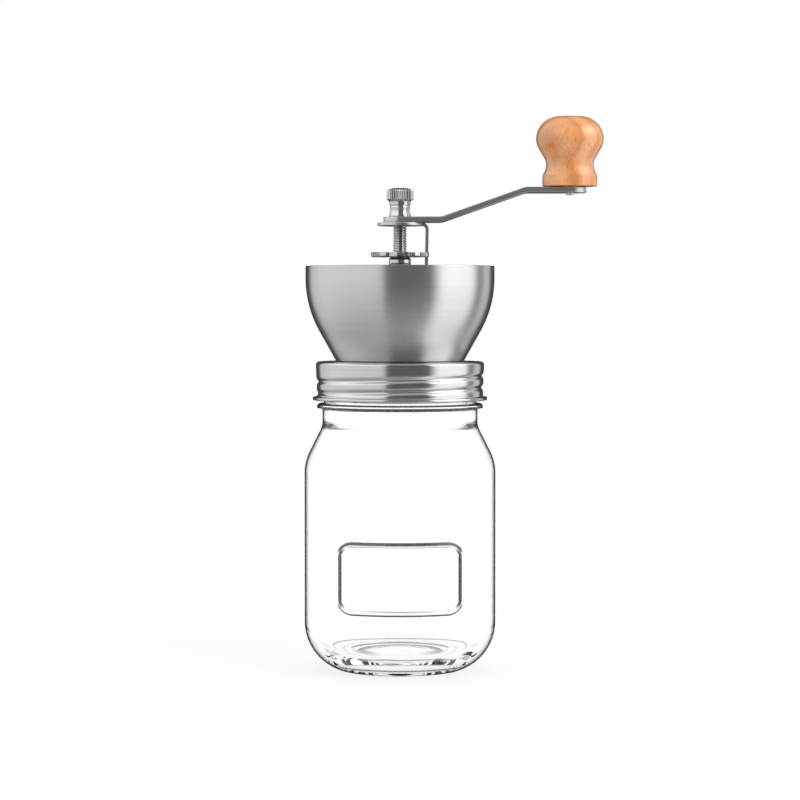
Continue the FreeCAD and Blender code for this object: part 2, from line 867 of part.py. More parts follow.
def make_crank_arm():
    """Flat bar with two bends, round ends, a flatted hole for the shaft and a round hole for the axle."""
    end = arm_width / 2
    path = [
        (-2 * end, arm_bottom, 0),
        (arm_first_bend, arm_bottom, arm_bend_radius + arm_thickness),
        (arm_second_bend, arm_bottom + arm_rise, arm_bend_radius),
        (crank_radius + 2 * end, arm_bottom + arm_rise, 0),
    ]
    bar = rounded_face(sheet_corners(path, arm_thickness)).extrude(V(0, 2 * arm_width, 0))
    bar.translate(V(0, -arm_width, 0))
    height = arm_rise + 4 * arm_thickness
    plan = Part.makeBox(crank_radius, arm_width, height, V(0, -end, arm_bottom - arm_thickness))
    low = arm_bottom - arm_thickness
    for x in (0, crank_radius):
        plan = plan.fuse(cylinder(end, low, low + height, x))
    arm = bar.common(plan.removeSplitter())
    faces = [f for f in arm.Faces if abs(f.normalAt(0.5, 0.5).z) > 0.5]
    arm = arm.makeFillet(arm_edge_rounding, rim_edges(arm, faces))
    axle_hole = cylinder(axle_shank_diameter / 2 + running_clearance, low, low + height, crank_radius)
    shaft_hole = flatted_prism(running_clearance, low, arm_top + overrun)
    return arm.cut([axle_hole, shaft_hole])


def rim_edges(solid, broad_faces):
    """Edges where the broad faces of a bar meet its narrow sides."""
    chosen = []
    for edge in solid.Edges:
        sides = [f for f in solid.ancestorsOfType(edge, Part.Face)]
        broad = [any(f.isSame(b) for b in broad_faces) for f in sides]
        if len(broad) == 2 and broad[0] != broad[1]:
            chosen.append(edge)
    return chosen


def make_thumb_nut():
    """Waisted round nut with a straight-knurled, domed head, screwed on the shaft's top end."""
    head = thumb_diameter / 2
    knurl_top = thumb_top - thumb_dome
    knurl_bottom = knurl_top - thumb_knurl_height
    shoulder = knurl_bottom - thumb_neck_height
    groove = shoulder - thumb_shoulder_height
    bead = groove - thumb_bead_drop
    waist = bead - thumb_waist_drop
    shoulder_radius = thumb_shoulder_diameter / 2
    groove_radius = thumb_groove_diameter / 2
    foot = thumb_foot_diameter / 2
    bore = shaft_hole_radius
    body = revolved(
        [
            (bore, arm_top, 0),
            (foot, arm_top, thumb_edge_rounding),
            (foot, arm_top + thumb_foot_height, thumb_edge_rounding),
            (thumb_waist_diameter / 2, waist, thumb_waist_rounding),
            ((shoulder_radius + groove_radius) / 2, bead, thumb_edge_rounding),
            (groove_radius, groove, thumb_fine_rounding),
            (shoulder_radius, groove + thumb_groove_height, thumb_fine_rounding),
            (shoulder_radius, shoulder, thumb_edge_rounding),
            (head, knurl_bottom, thumb_fine_rounding),
            (head, knurl_top, thumb_head_rounding),
            (thumb_dome_diameter / 2, thumb_top, thumb_dome_rounding),
            (0, thumb_top, 0),
            (0, thumb_bore_top, 0),
            (bore, thumb_bore_top, 0),
        ]
    )
    half = math.pi / thumb_knurl_count / 2
    outer = head + thumb_knurl_depth
    tip = head - thumb_knurl_depth
    corners = [
        V(tip, 0, knurl_bottom),
        V(outer, -outer * 2 * half, knurl_bottom),
        V(outer, outer * 2 * half, knurl_bottom),
    ]
    groove_cut = Part.Face(Part.makePolygon(corners + corners[:1])).extrude(V(0, 0, thumb_height))
    groove_cut.translate(V(0, 0, -thumb_knurl_height / 4))
    return body.cut(around(groove_cut, thumb_knurl_count))


def knob_outline():
    """The turned knob's outline about its own axis, from the base to the top."""
    bulb = knob_bulb_diameter / 2
    base = knob_base_diameter / 2
    return [
        (base, knob_bottom, knob_edge_rounding / 2),
        (base, knob_bottom + knob_base_height, knob_edge_rounding),
        (knob_waist_corner / 2, knob_bottom + knob_waist_height, knob_waist_rounding),
        (bulb, knob_bottom + knob_bulb_foot, knob_bulb_rounding),
        (bulb, knob_top, knob_top_rounding),
    ]


def plug_hole_radius():
    """Radius of the counterbore over the axle's head."""
    return axle_head_diameter / 2 + free_clearance


def head_seat():
    """Height of the shoulder in the knob that the axle's head holds down."""
    return knob_top - axle_head_depth


def make_knob():
    """Turned beech knob with a stepped hole for its axle."""
    bore = axle_diameter / 2 + seat_clearance
    knob = revolved([(0, knob_bottom, 0)] + knob_outline() + [(0, knob_top, 0)])
    knob = knob.cut(cylinder(bore, knob_bottom - overrun, knob_top + overrun))
    knob = knob.cut(cylinder(plug_hole_radius(), head_seat(), knob_top + overrun))
    knob.translate(V(crank_radius, 0, 0))
    return knob


def make_knob_plug():
    """Wooden plug that closes the knob's counterbore flush with its top."""
    bottom = head_seat() + axle_head_height + 2 * free_clearance
    plug = ring_plug(plug_hole_radius() - running_clearance, bottom, knob_top)
    plug.translate(V(crank_radius, 0, 0))
    return plug


def ring_plug(radius, bottom, top):
    """Solid disc about Z with its lower edge eased."""
    return revolved([(0, bottom, 0), (radius, bottom, plug_edge_rounding), (radius, top, 0), (0, top, 0)])


def make_knob_axle():
    """Riveted axle: a tail under the arm, a shank through it, a shoulder for the knob and a head inside."""
    shank = axle_shank_diameter / 2
    tail = arm_bottom + arm_rise - axle_tail_height
    seat = head_seat() + seat_clearance
    axle = revolved(
        [
            (0, tail, 0),
            (shank, tail, axle_tail_rounding),
            (shank, knob_seat, 0),
            (axle_diameter / 2, knob_seat, 0),
            (axle_diameter / 2, seat, 0),
            (axle_head_diameter / 2, seat, 0),
            (axle_head_diameter / 2, seat + axle_head_height, axle_head_rounding),
            (0, seat + axle_head_height, 0),
        ]
    )
    axle.translate(V(crank_radius, 0, 0))
    return axle


def make_knob_washer():
    """Thin washer that keeps the knob off the arm."""
    washer = ring(
        axle_washer_diameter / 2,
        axle_diameter / 2 + running_clearance,
        knob_seat,
        axle_washer_thickness,
    )
    washer.translate(V(crank_radius, 0, 0))
    return washer


def helix_point(radius, bottom, pitch, turn):
    """Point and unit tangent of a helix about Z after a number of turns."""
    angle = 2 * math.pi * turn
    where = V(radius * math.cos(angle), radius * math.sin(angle), bottom + pitch * turn)
    along = V(-radius * math.sin(angle), radius * math.cos(angle), pitch / (2 * math.pi))
    return where, along.normalize()


def tangent_arc(start, along, end):
    """Arc from start, leaving along a unit tangent, to end."""
    chord = end - start
    length = chord.Length
    straight = V(chord).normalize()
    side = along - straight * along.dot(straight)
    bend = math.atan2(side.Length, along.dot(straight))
    middle = start + chord * 0.5 + side.normalize() * (length / 2 * math.tan(bend / 2))
    return Part.Arc(start, middle, end).toShape()


def biarc(start, along, end, arriving):
    """Two arcs that meet tangentially, from a point and tangent to a point and tangent."""
    gap = end - start
    both = along + arriving
    spread = 2 * (1 - along.dot(arriving))
    reach = (-gap.dot(both) + math.sqrt(gap.dot(both) ** 2 + spread * gap.dot(gap))) / spread
    meet = (start + end + (along - arriving) * reach) * 0.5
    second = tangent_arc(end, arriving * -1, meet)
    return [tangent_arc(start, along, meet), second]


def make_burr_spring():
    """Round-wire compression spring on the shaft, one unbroken tube along a helix."""
    radius = spring_diameter / 2
    bottom = carrier_top + spring_wire / 2 + seat_clearance
    top = spring_top - spring_wire / 2 - seat_clearance
    pitch = (top - bottom) / spring_turns
    steps = int(round(spring_turns * 4))
    edges = []
    for i in range(steps):
        start, along = helix_point(radius, bottom, pitch, spring_turns * i / steps)
        end, arriving = helix_point(radius, bottom, pitch, spring_turns * (i + 1) / steps)
        edges += biarc(start, along, end, arriving)
    start, along = helix_point(radius, bottom, pitch, 0)
    section = Part.Wire(Part.makeCircle(spring_wire / 2, start, along))
    path = Part.Wire(Part.__sortEdges__(edges))
    pipe = Part.BRepOffsetAPI.MakePipeShell(path)
    pipe.add(section)
    pipe.build()
    pipe.makeSolid()
    spring = pipe.shape()
    solid_share = spring.Volume / (math.pi * spring_wire**2 / 4 * path.Length)
    print("burr_spring: least gap between turns", round(least_gap(path), 2), "mm")
    print("burr_spring: volume over section times length", round(solid_share, 4))
    return spring


def least_gap(path):
    """Least distance between the spring's turns, measured on points along its path."""
    per_turn = 36
    points = path.discretize(Number=int(spring_turns * per_turn) + 1)
    apart = per_turn // 2
    distances = []
    for i, here in enumerate(points):
        distances += [here.distanceToPoint(there) for there in points[i + apart :]]
    return min(distances) - spring_wire


PIECES = {
    "jar": make_jar,
    "jar_seal": make_jar_seal,
    "screw_band": make_screw_band,
    "hopper_bowl": make_hopper_bowl,
    "shaft_support": make_shaft_support,
    "upper_bush": lambda: make_bush(tube_top, upper_bush_length, 1),
    "lower_bush": lambda: make_bush(tube_bottom, lower_bush_length, -1),
    "thrust_washer": make_thrust_washer,
    "spring_washer": make_spring_washer,
    "clamp_screws": make_screws,
    "burr_housing": make_burr_housing,
    "outer_burr": make_outer_burr,
    "inner_burr": make_inner_burr,
    "burr_carrier": make_burr_carrier,
    "burr_nut": make_burr_nut,
    "burr_spring": make_burr_spring,
    "drive_shaft": make_drive_shaft,
    "adjusting_nut": make_adjusting_nut,
    "lock_plate": make_lock_plate,
    "crank_arm": make_crank_arm,
    "thumb_nut": make_thumb_nut,
    "knob_axle": make_knob_axle,
    "knob_washer": make_knob_washer,
    "knob": make_knob,
    "knob_plug": make_knob_plug,
}


def main():
    """Builds every piece, reports it and writes its STEP file."""
    os.makedirs("parts", exist_ok=True)
    for name, make in PIECES.items():
        shape = make()
        solids = shape.Solids
        print(name, len(solids), "solids", round(shape.Volume, 1), "mm3", "valid", shape.isValid())
        whole = solids[0] if len(solids) == 1 else Part.makeCompound(solids)
        whole.exportStep(os.path.join("parts", name + ".step"))


main()
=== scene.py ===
"""Looks of a hand crank coffee grinder: a steel hopper and burr set on a clear glass jar.

Sizes in the classes are millimetres in the part's own frame: +Z up from the jar's foot, +X towards the knob.
"""
import logging
import math
from collections.abc import Sequence
from dataclasses import dataclass
from enum import Enum

import bmesh
import bpy
import numpy as np
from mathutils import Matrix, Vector


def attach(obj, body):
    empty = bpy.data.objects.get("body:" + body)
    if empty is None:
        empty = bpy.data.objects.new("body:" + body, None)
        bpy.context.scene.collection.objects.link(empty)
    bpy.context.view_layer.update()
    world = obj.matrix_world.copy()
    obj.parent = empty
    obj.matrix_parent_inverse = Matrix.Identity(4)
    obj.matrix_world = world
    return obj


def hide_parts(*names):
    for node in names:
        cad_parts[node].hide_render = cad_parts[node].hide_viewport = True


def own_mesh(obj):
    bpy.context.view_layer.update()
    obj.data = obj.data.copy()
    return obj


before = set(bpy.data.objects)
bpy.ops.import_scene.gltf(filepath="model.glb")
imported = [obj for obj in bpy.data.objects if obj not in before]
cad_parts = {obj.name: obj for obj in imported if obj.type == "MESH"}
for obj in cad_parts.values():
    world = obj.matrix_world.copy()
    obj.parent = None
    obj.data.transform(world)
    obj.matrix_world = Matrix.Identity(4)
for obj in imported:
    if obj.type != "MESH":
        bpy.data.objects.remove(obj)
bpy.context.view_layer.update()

LOG = logging.getLogger("grinder")
MM = 0.001
FULL_TURN = 2.0 * math.pi
# Numbers of a colour Mix node's sockets, whose names it shares with its other data types
MIX_A = 6
MIX_B = 7
MIXED = 2
# Arcs of less than this radius, in millimetres, may be drawn more coarsely
SMALL_ARC = 2.0
# Millimetres within which two places count as the same
TINY = 1e-6
NEAR = 1e-4
# Metres within which grid points are welded, and below which an edge counts as none
WELD = 2e-7
NO_EDGE = 1e-8

Corner = tuple[float, float, float]


class Body(Enum):
    """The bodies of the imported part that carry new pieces."""

    JAR = "jar"
    HEAD = "head"
    ADJUSTER = "adjuster"
    SHAFT = "shaft"
    KNOB = "knob"


class Slot(Enum):
    """Material slot names that go with the new pieces."""

    GLASS = "glass"
    SHEET = "stainless_sheet"
    TURNED = "turned_steel"
    WOOD = "wood"


class Brushing(Enum):
    """Which way the abrasive ran over a steel surface, as pattern repeats per metre along X, Y and Z."""

    ROUND = (6.0, 6.0, 1300.0)
    LENGTHWISE = (9.0, 1300.0, 1300.0)
    TURNED = (40.0, 40.0, 2600.0)


def linear(colour: str) -> tuple[float, float, float, float]:
    """Linear RGBA of an sRGB hex colour.

    Args:
        colour: Text such as "#C8C4BE".

    Returns:
        Red, green, blue and an alpha of 1, in linear light.
    """
    parts = np.array([int(colour[i : i + 2], 16) for i in (1, 3, 5)]) / 255.0
    light = np.where(parts <= 0.04045, parts / 12.92, ((parts + 0.055) / 1.055) ** 2.4)
    return (*light.tolist(), 1.0)


def add_node(
    tree: bpy.types.NodeTree,
    kind: str,
    settings: dict[str, object] | None = None,
    inputs: dict[str | int, object] | None = None,
) -> bpy.types.Node:
    """Adds a node with its settings, constant inputs and links.

    Args:
        tree: The node tree.
        kind: Blender's node type name.
        settings: Attributes to set on the node.
        inputs: Socket name or number to a constant, or to the output socket that feeds it.

    Returns:
        The new node.
    """
    node = tree.nodes.new(kind)
    for name, value in (settings or {}).items():
        setattr(node, name, value)
    for name, value in (inputs or {}).items():
        if isinstance(value, bpy.types.NodeSocket):
            tree.links.new(value, node.inputs[name])
        else:
            node.inputs[name].default_value = value
    return node


def set_ramp(node: bpy.types.Node, stops: Sequence[tuple[float, tuple[float, ...]]]) -> bpy.types.NodeSocket:
    """Gives a colour ramp its stops.

    Args:
        node: A colour ramp node.
        stops: Position and linear RGBA of each stop, in order.

    Returns:
        The ramp's colour output.
    """
    elements = node.color_ramp.elements
    while len(elements) < len(stops):
        elements.new(0.5)
    for element, (position, colour) in zip(elements, stops):
        element.position = position
        element.color = colour
    return node.outputs["Color"]


def new_material(name: str) -> tuple[bpy.types.Material, bpy.types.NodeTree, bpy.types.Node]:
    """A new material with its node tree and its principled shader."""
    material = bpy.data.materials.new(name)
    material.use_nodes = True
    tree = material.node_tree
    return material, tree, tree.nodes["Principled BSDF"]


def corner_arc(
    corner: np.ndarray,
    before: np.ndarray,
    after: np.ndarray,
    radius: float,
    turn: float,
) -> np.ndarray:
    """Points of the arc that rounds one corner of an outline.

    The arc is tangent to both sides. Its centre lies on their bisector at radius / sin(half the angle),
    and its points are the spherical mean of the two end directions.

    Args:
        corner: The corner (x, z).
        before: The corner before it.
        after: The corner after it.
        radius: The arc's radius, or 0 to keep the corner sharp.
        turn: Largest angle between two points, in degrees.

    Returns:
        Array of points (n, 2).
    """
    if radius <= 0.0:
        return corner[None, :]
    u = (before - corner) / np.linalg.norm(before - corner)
    v = (after - corner) / np.linalg.norm(after - corner)
    half = math.acos(float(np.clip(u @ v, -1.0, 1.0))) / 2.0
    centre = corner + (u + v) / np.linalg.norm(u + v) * (radius / math.sin(half))
    first = (corner + u * (radius / math.tan(half)) - centre) / radius
    last = (corner + v * (radius / math.tan(half)) - centre) / radius
    sweep = math.pi - 2.0 * half
    share = np.linspace(0.0, 1.0, max(3, math.ceil(math.degrees(sweep) / turn) + 1))[:, None]
    blend = np.sin((1.0 - share) * sweep) * first + np.sin(share * sweep) * last
    return centre + radius * blend / math.sin(sweep)


def rounded(corners: Sequence[Corner], turn: float = 7.0, small_turn: float | None = None) -> np.ndarray:
    """An outline through corners (x, z, radius), each rounded by its tangent arc.

    Args:
        corners: The corners in order. The first and the last of an open outline have radius 0.
        turn: Largest angle between two points of an arc, in degrees.
        small_turn: The same for small arcs, where it differs.

    Returns:
        Array of points (n, 2).
    """
    table = np.array(corners, float)
    points = table[:, :2]
    before = np.roll(points, 1, axis=0)
    after = np.roll(points, -1, axis=0)
    turns = np.where(table[:, 2] < SMALL_ARC, small_turn or turn, turn)
    arcs = [corner_arc(*row) for row in zip(points, before, after, table[:, 2], turns)]
    return np.concatenate(arcs)


def offset_corners(path: Sequence[Corner], distance: float) -> list[Corner]:
    """An open path of corners moved to the left of its travel, with radii to match.

    Each corner moves along the sum of its two side normals, so that both sides move by the distance.

    Args:
        path: Corners (x, z, radius).
        distance: How far to move, negative for the right.

    Returns:
        The moved corners.
    """
    table = np.array(path, float)
    run = np.diff(table[:, :2], axis=0)
    run /= np.linalg.norm(run, axis=1)[:, None]
    normal = np.stack([-run[:, 1], run[:, 0]], axis=1)
    first = np.vstack([normal[:1], normal])
    second = np.vstack([normal, normal[-1:]])
    share = distance / (1.0 + np.sum(first * second, axis=1))
    moved = table[:, :2] + (first + second) * share[:, None]
    left = first[:, 0] * second[:, 1] - first[:, 1] * second[:, 0] > 0
    radius = np.maximum(table[:, 2] + np.where(left, -distance, distance), 0.0) * (table[:, 2] > 0)
    return [tuple(row) for row in np.column_stack([moved, radius]).tolist()]


def subdivided(outline: np.ndarray, longest: float | np.ndarray) -> np.ndarray:
    """An outline with extra points on its straight runs.

    Args:
        outline: Array of points (n, 2).
        longest: Longest run allowed, one number or one for each run.

    Returns:
        The outline with each run split evenly.
    """
    step = np.diff(outline, axis=0)
    counts = np.maximum(1, np.ceil(np.linalg.norm(step, axis=1) / longest)).astype(int)
    run = np.repeat(np.arange(len(step)), counts)
    place = np.arange(counts.sum()) - np.repeat(np.cumsum(counts) - counts, counts)
    inner = outline[run] + step[run] * (place / counts[run])[:, None]
    return np.vstack([inner, outline[-1:]])


def smooth_step(value: np.ndarray, low: float, high: float) -> np.ndarray:
    """0 below low, 1 above high, and a cubic ease between them."""
    share = np.clip((value - low) / (high - low), 0.0, 1.0)
    return share * share * (3.0 - 2.0 * share)


def around(count: int) -> np.ndarray:
    """Angles of a full turn, evenly spaced, the last one short of the first."""
    return np.linspace(0.0, FULL_TURN, count, endpoint=False)


def revolved(
    outline: np.ndarray,
    angles: np.ndarray,
    swell: np.ndarray | float = 0.0,
    centre: tuple[float, float] = (0.0, 0.0),
) -> np.ndarray:
    """Surface of revolution: at angle a and outline point (r, z) it is (r cos a, r sin a, z).

    Args:
        outline: Points (n, 2) of radius and height.
        angles: The m angles.
        swell: Added to the radius, as a number or an array (n, m).
        centre: X and Y of the axis.

    Returns:
        Array of points (n, m, 3).
    """
    radius = outline[:, :1] + np.zeros((1, len(angles))) + swell
    height = np.broadcast_to(outline[:, 1:], radius.shape)
    return np.stack(
        [centre[0] + radius * np.cos(angles), centre[1] + radius * np.sin(angles), height], axis=-1
    )


def swept(path: np.ndarray, section: np.ndarray, width: np.ndarray) -> np.ndarray:
    """A section carried along a path in the XZ plane.

    At path point p with unit normal n, section point (a, b) lies at p + a * width * Y + b * n.

    Args:
        path: Points (n, 2).
        section: Points (k, 2), the first across the bar from -1 to 1, the second along the normal.
        width: Half width of the bar at each path point.

    Returns:
        Array of points (n, k, 3).
    """
    along = np.gradient(path, axis=0)
    along /= np.linalg.norm(along, axis=1)[:, None]
    x = path[:, :1] - along[:, 1:] * section[:, 1]
    z = path[:, 1:] + along[:, :1] * section[:, 1]
    y = width[:, None] * section[:, 0]
    return np.stack([x, y, z], axis=-1)


def bar_section(half_thickness: float, edge: float, half_width: float) -> np.ndarray:
    """Rounded rectangle section of a flat bar, across from -1 to 1 and up by its half thickness."""
    corners = [
        (-half_width, -half_thickness, edge),
        (half_width, -half_thickness, edge),
        (half_width, half_thickness, edge),
        (-half_width, half_thickness, edge),
    ]
    return rounded(corners, turn=22.5) / (half_width, 1.0)


def capped(tube: np.ndarray) -> np.ndarray:
    """A tube (n, k, 3) with a row added at each end, all of it at that end's middle."""
    first, last = (np.broadcast_to(tube[i].mean(axis=0), tube[i].shape)[None] for i in (0, -1))
    return np.concatenate([first, tube, last])


@dataclass(frozen=True)
class Patch:
    """A closed skin: a grid of points (rows, columns, 3), with an optional painted shade (rows, columns)."""

    grid: np.ndarray
    rows_close: bool = False
    mark: np.ndarray | None = None


def make_piece(name: str, patches: Sequence[Patch], crease: float = 38.0) -> bpy.types.Object:
    """Makes one object of one or more skins.

    Quads join neighbouring grid points, row by row. Rows that fall on a point or a line are welded, normals
    are turned outwards, and a UV map named "around" runs along the columns, so that brushing can follow the
    surface. The skins' painted shade, darkness painted in place of light, becomes a point attribute.

    Args:
        name: The piece's name.
        patches: Its skins, in millimetres.
        crease: Edges sharper than this angle, in degrees, are shaded sharp.

    Returns:
        The object, at the origin, with its place in its mesh.
    """
    points = []
    quads = []
    places = []
    painted_shades = []
    first = 0
    for patch in patches:
        rows, columns = patch.grid.shape[:2]
        row = np.arange(rows if patch.rows_close else rows - 1)
        r, c = (side.ravel() for side in np.meshgrid(row, np.arange(columns), indexing="ij"))
        ring = np.stack([r, r, r + 1, r + 1], axis=1)
        step = np.stack([c, c + 1, c + 1, c], axis=1)
        quads.append(first + (ring % rows) * columns + step % columns)
        places.append(np.stack([step / columns, ring / rows], axis=-1).reshape(-1, 2))
        painted_shades.append(np.zeros(rows * columns) if patch.mark is None else patch.mark.ravel())
        points.append(patch.grid.reshape(-1, 3))
        first += rows * columns
    mesh = bpy.data.meshes.new(name)
    mesh.from_pydata(np.concatenate(points) * MM, [], np.concatenate(quads).tolist())
    layer = mesh.uv_layers.new(name="around")
    layer.data.foreach_set("uv", np.concatenate(places).astype(np.float32).ravel())
    # Painted shade, kept as a point attribute for the glass's colour
    mark = mesh.attributes.new("mark", "FLOAT", "POINT")
    mark.data.foreach_set("value", np.concatenate(painted_shades).astype(np.float32))
    sheet = bmesh.new()
    sheet.from_mesh(mesh)
    bmesh.ops.remove_doubles(sheet, verts=sheet.verts, dist=WELD)
    bmesh.ops.dissolve_degenerate(sheet, edges=sheet.edges, dist=NO_EDGE)
    bmesh.ops.recalc_face_normals(sheet, faces=sheet.faces)
    sheet.to_mesh(mesh)
    sheet.free()
    mesh.shade_smooth()
    mesh.set_sharp_from_angle(angle=math.radians(crease))
    piece = bpy.data.objects.new(name, mesh)
    bpy.context.scene.collection.objects.link(piece)
    return piece


def seat(piece: bpy.types.Object, material: bpy.types.Material, body: Body, slot: Slot, *nodes: str) -> None:
    """Dresses a piece, lets it ride on its body and hides the nodes that it stands for.

    Args:
        piece: The new piece.
        material: Its finish.
        body: The body that carries it.
        slot: A material slot; not used.
        nodes: The nodes that it replaces.
    """
    piece.data.materials.clear()
    piece.data.materials.append(material)
    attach(piece, body.value)
    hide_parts(*nodes)
    LOG.info("%s rides on %s, %d faces", piece.name, body.value, len(piece.data.polygons))


def dress_node(name: str, material: bpy.types.Material) -> None:
    """Gives a node that keeps its own shape a finish."""
    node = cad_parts[name]
    node.data.materials.clear()
    node.data.materials.append(material)
    LOG.info("%s keeps its shape", name)


@dataclass(frozen=True)
class BrushedStainless:
    """Stainless sheet, rolled and brushed: fine parallel lines that draw reflections out across them."""

    name: str
    brushing: Brushing
    colour: str = "#C8C9CA"
    shade: str = "#B6B7B8"
    roughness: float = 0.3
    roughness_spread: float = 0.05
    anisotropy: float = 0.85
    line_depth: float = 0.000004

    def material(self) -> bpy.types.Material:
        """The finish as a material."""
        material, tree, shader = new_material(self.name)
        place = add_node(tree, "ShaderNodeTexCoord").outputs["Object"]
        # The lines are 0.4 to 0.8 mm apart, coarser than real brushing, so that the render can show them.
        lines = add_node(tree, "ShaderNodeMapping", inputs={"Vector": place, "Scale": self.brushing.value})
        grain = add_node(
            tree,
            "ShaderNodeTexNoise",
            inputs={"Vector": lines.outputs["Vector"], "Scale": 1.0, "Detail": 3.0, "Roughness": 0.7},
        ).outputs["Fac"]
        tone = add_node(
            tree,
            "ShaderNodeMix",
            {"data_type": "RGBA"},
            {"Factor": grain, MIX_A: linear(self.shade), MIX_B: linear(self.colour)},
        )
        rough = add_node(
            tree,
            "ShaderNodeMapRange",
            inputs={
                "Value": grain,
                "To Min": self.roughness - self.roughness_spread,
                "To Max": self.roughness + self.roughness_spread,
            },
        )
        bump = add_node(
            tree, "ShaderNodeBump", inputs={"Height": grain, "Strength": 0.35, "Distance": self.line_depth}
        )
        shader.inputs["Metallic"].default_value = 1.0
        shader.inputs["Anisotropic"].default_value = self.anisotropy
        # A quarter turn: light spreads across the brush lines, not along them.
        shader.inputs["Anisotropic Rotation"].default_value = 0.25
        tree.links.new(tone.outputs[MIXED], shader.inputs["Base Color"])
        tree.links.new(rough.outputs["Result"], shader.inputs["Roughness"])
        tree.links.new(bump.outputs["Normal"], shader.inputs["Normal"])
        if self.anisotropy > 0.0:
            tangent = add_node(tree, "ShaderNodeTangent", {"direction_type": "UV_MAP", "uv_map": "around"})
            tree.links.new(tangent.outputs["Tangent"], shader.inputs["Tangent"])
        return material


@dataclass(frozen=True)
class SodaLimeGlass:
    """Clear moulded soda-lime glass: white through the walls, with painted shade as dark lines where it is
    seen edge on and along lines painted on its skin.
    """

    name: str = "soda_lime_glass"
    clear: str = "#FFFFFF"
    # Painted shade: the dark colour, and the facing range over which the outer face takes it where it is
    # seen edge on. Real glass shows such dark lines by refracting dark surroundings.
    edge: str = "#161818"
    edge_from: float = 0.7
    edge_to: float = 0.84
    ior: float = 1.5
    outer_share: float = 0.5

    def material(self) -> bpy.types.Material:
        """The finish as a material."""
        material, tree, shader = new_material(self.name)
        # Painted shade that follows the view: the outer face darkens where it is seen edge on, and wherever
        # the skin's painted shade says.
        facing = add_node(tree, "ShaderNodeLayerWeight", inputs={"Blend": 0.5}).outputs["Facing"]
        along = add_node(tree, "ShaderNodeUVMap", {"uv_map": "around"}).outputs["UV"]
        along = add_node(tree, "ShaderNodeSeparateXYZ", inputs={0: along}).outputs["Y"]
        outer = add_node(
            tree,
            "ShaderNodeMath",
            {"operation": "LESS_THAN"},
            {0: along, 1: self.outer_share},
        ).outputs[0]
        edge_on = add_node(
            tree,
            "ShaderNodeMath",
            {"operation": "MULTIPLY"},
            {0: facing, 1: outer},
        ).outputs[0]
        rim = add_node(
            tree,
            "ShaderNodeMapRange",
            {"interpolation_type": "SMOOTHSTEP"},
            {"Value": edge_on, "From Min": self.edge_from, "From Max": self.edge_to},
        ).outputs["Result"]
        painted_lines = add_node(tree, "ShaderNodeAttribute", {"attribute_name": "mark"}).outputs["Fac"]
        dark = add_node(tree, "ShaderNodeMath", {"operation": "MAXIMUM"}, {0: rim, 1: painted_lines}).outputs[0]
        colour = add_node(
            tree,
            "ShaderNodeMix",
            {"data_type": "RGBA"},
            {"Factor": dark, MIX_A: linear(self.clear), MIX_B: linear(self.edge)},
        ).outputs[MIXED]
        tree.links.new(colour, shader.inputs["Base Color"])
        shader.inputs["Roughness"].default_value = 0.0
        shader.inputs["IOR"].default_value = self.ior
        shader.inputs["Transmission Weight"].default_value = 1.0
        return material


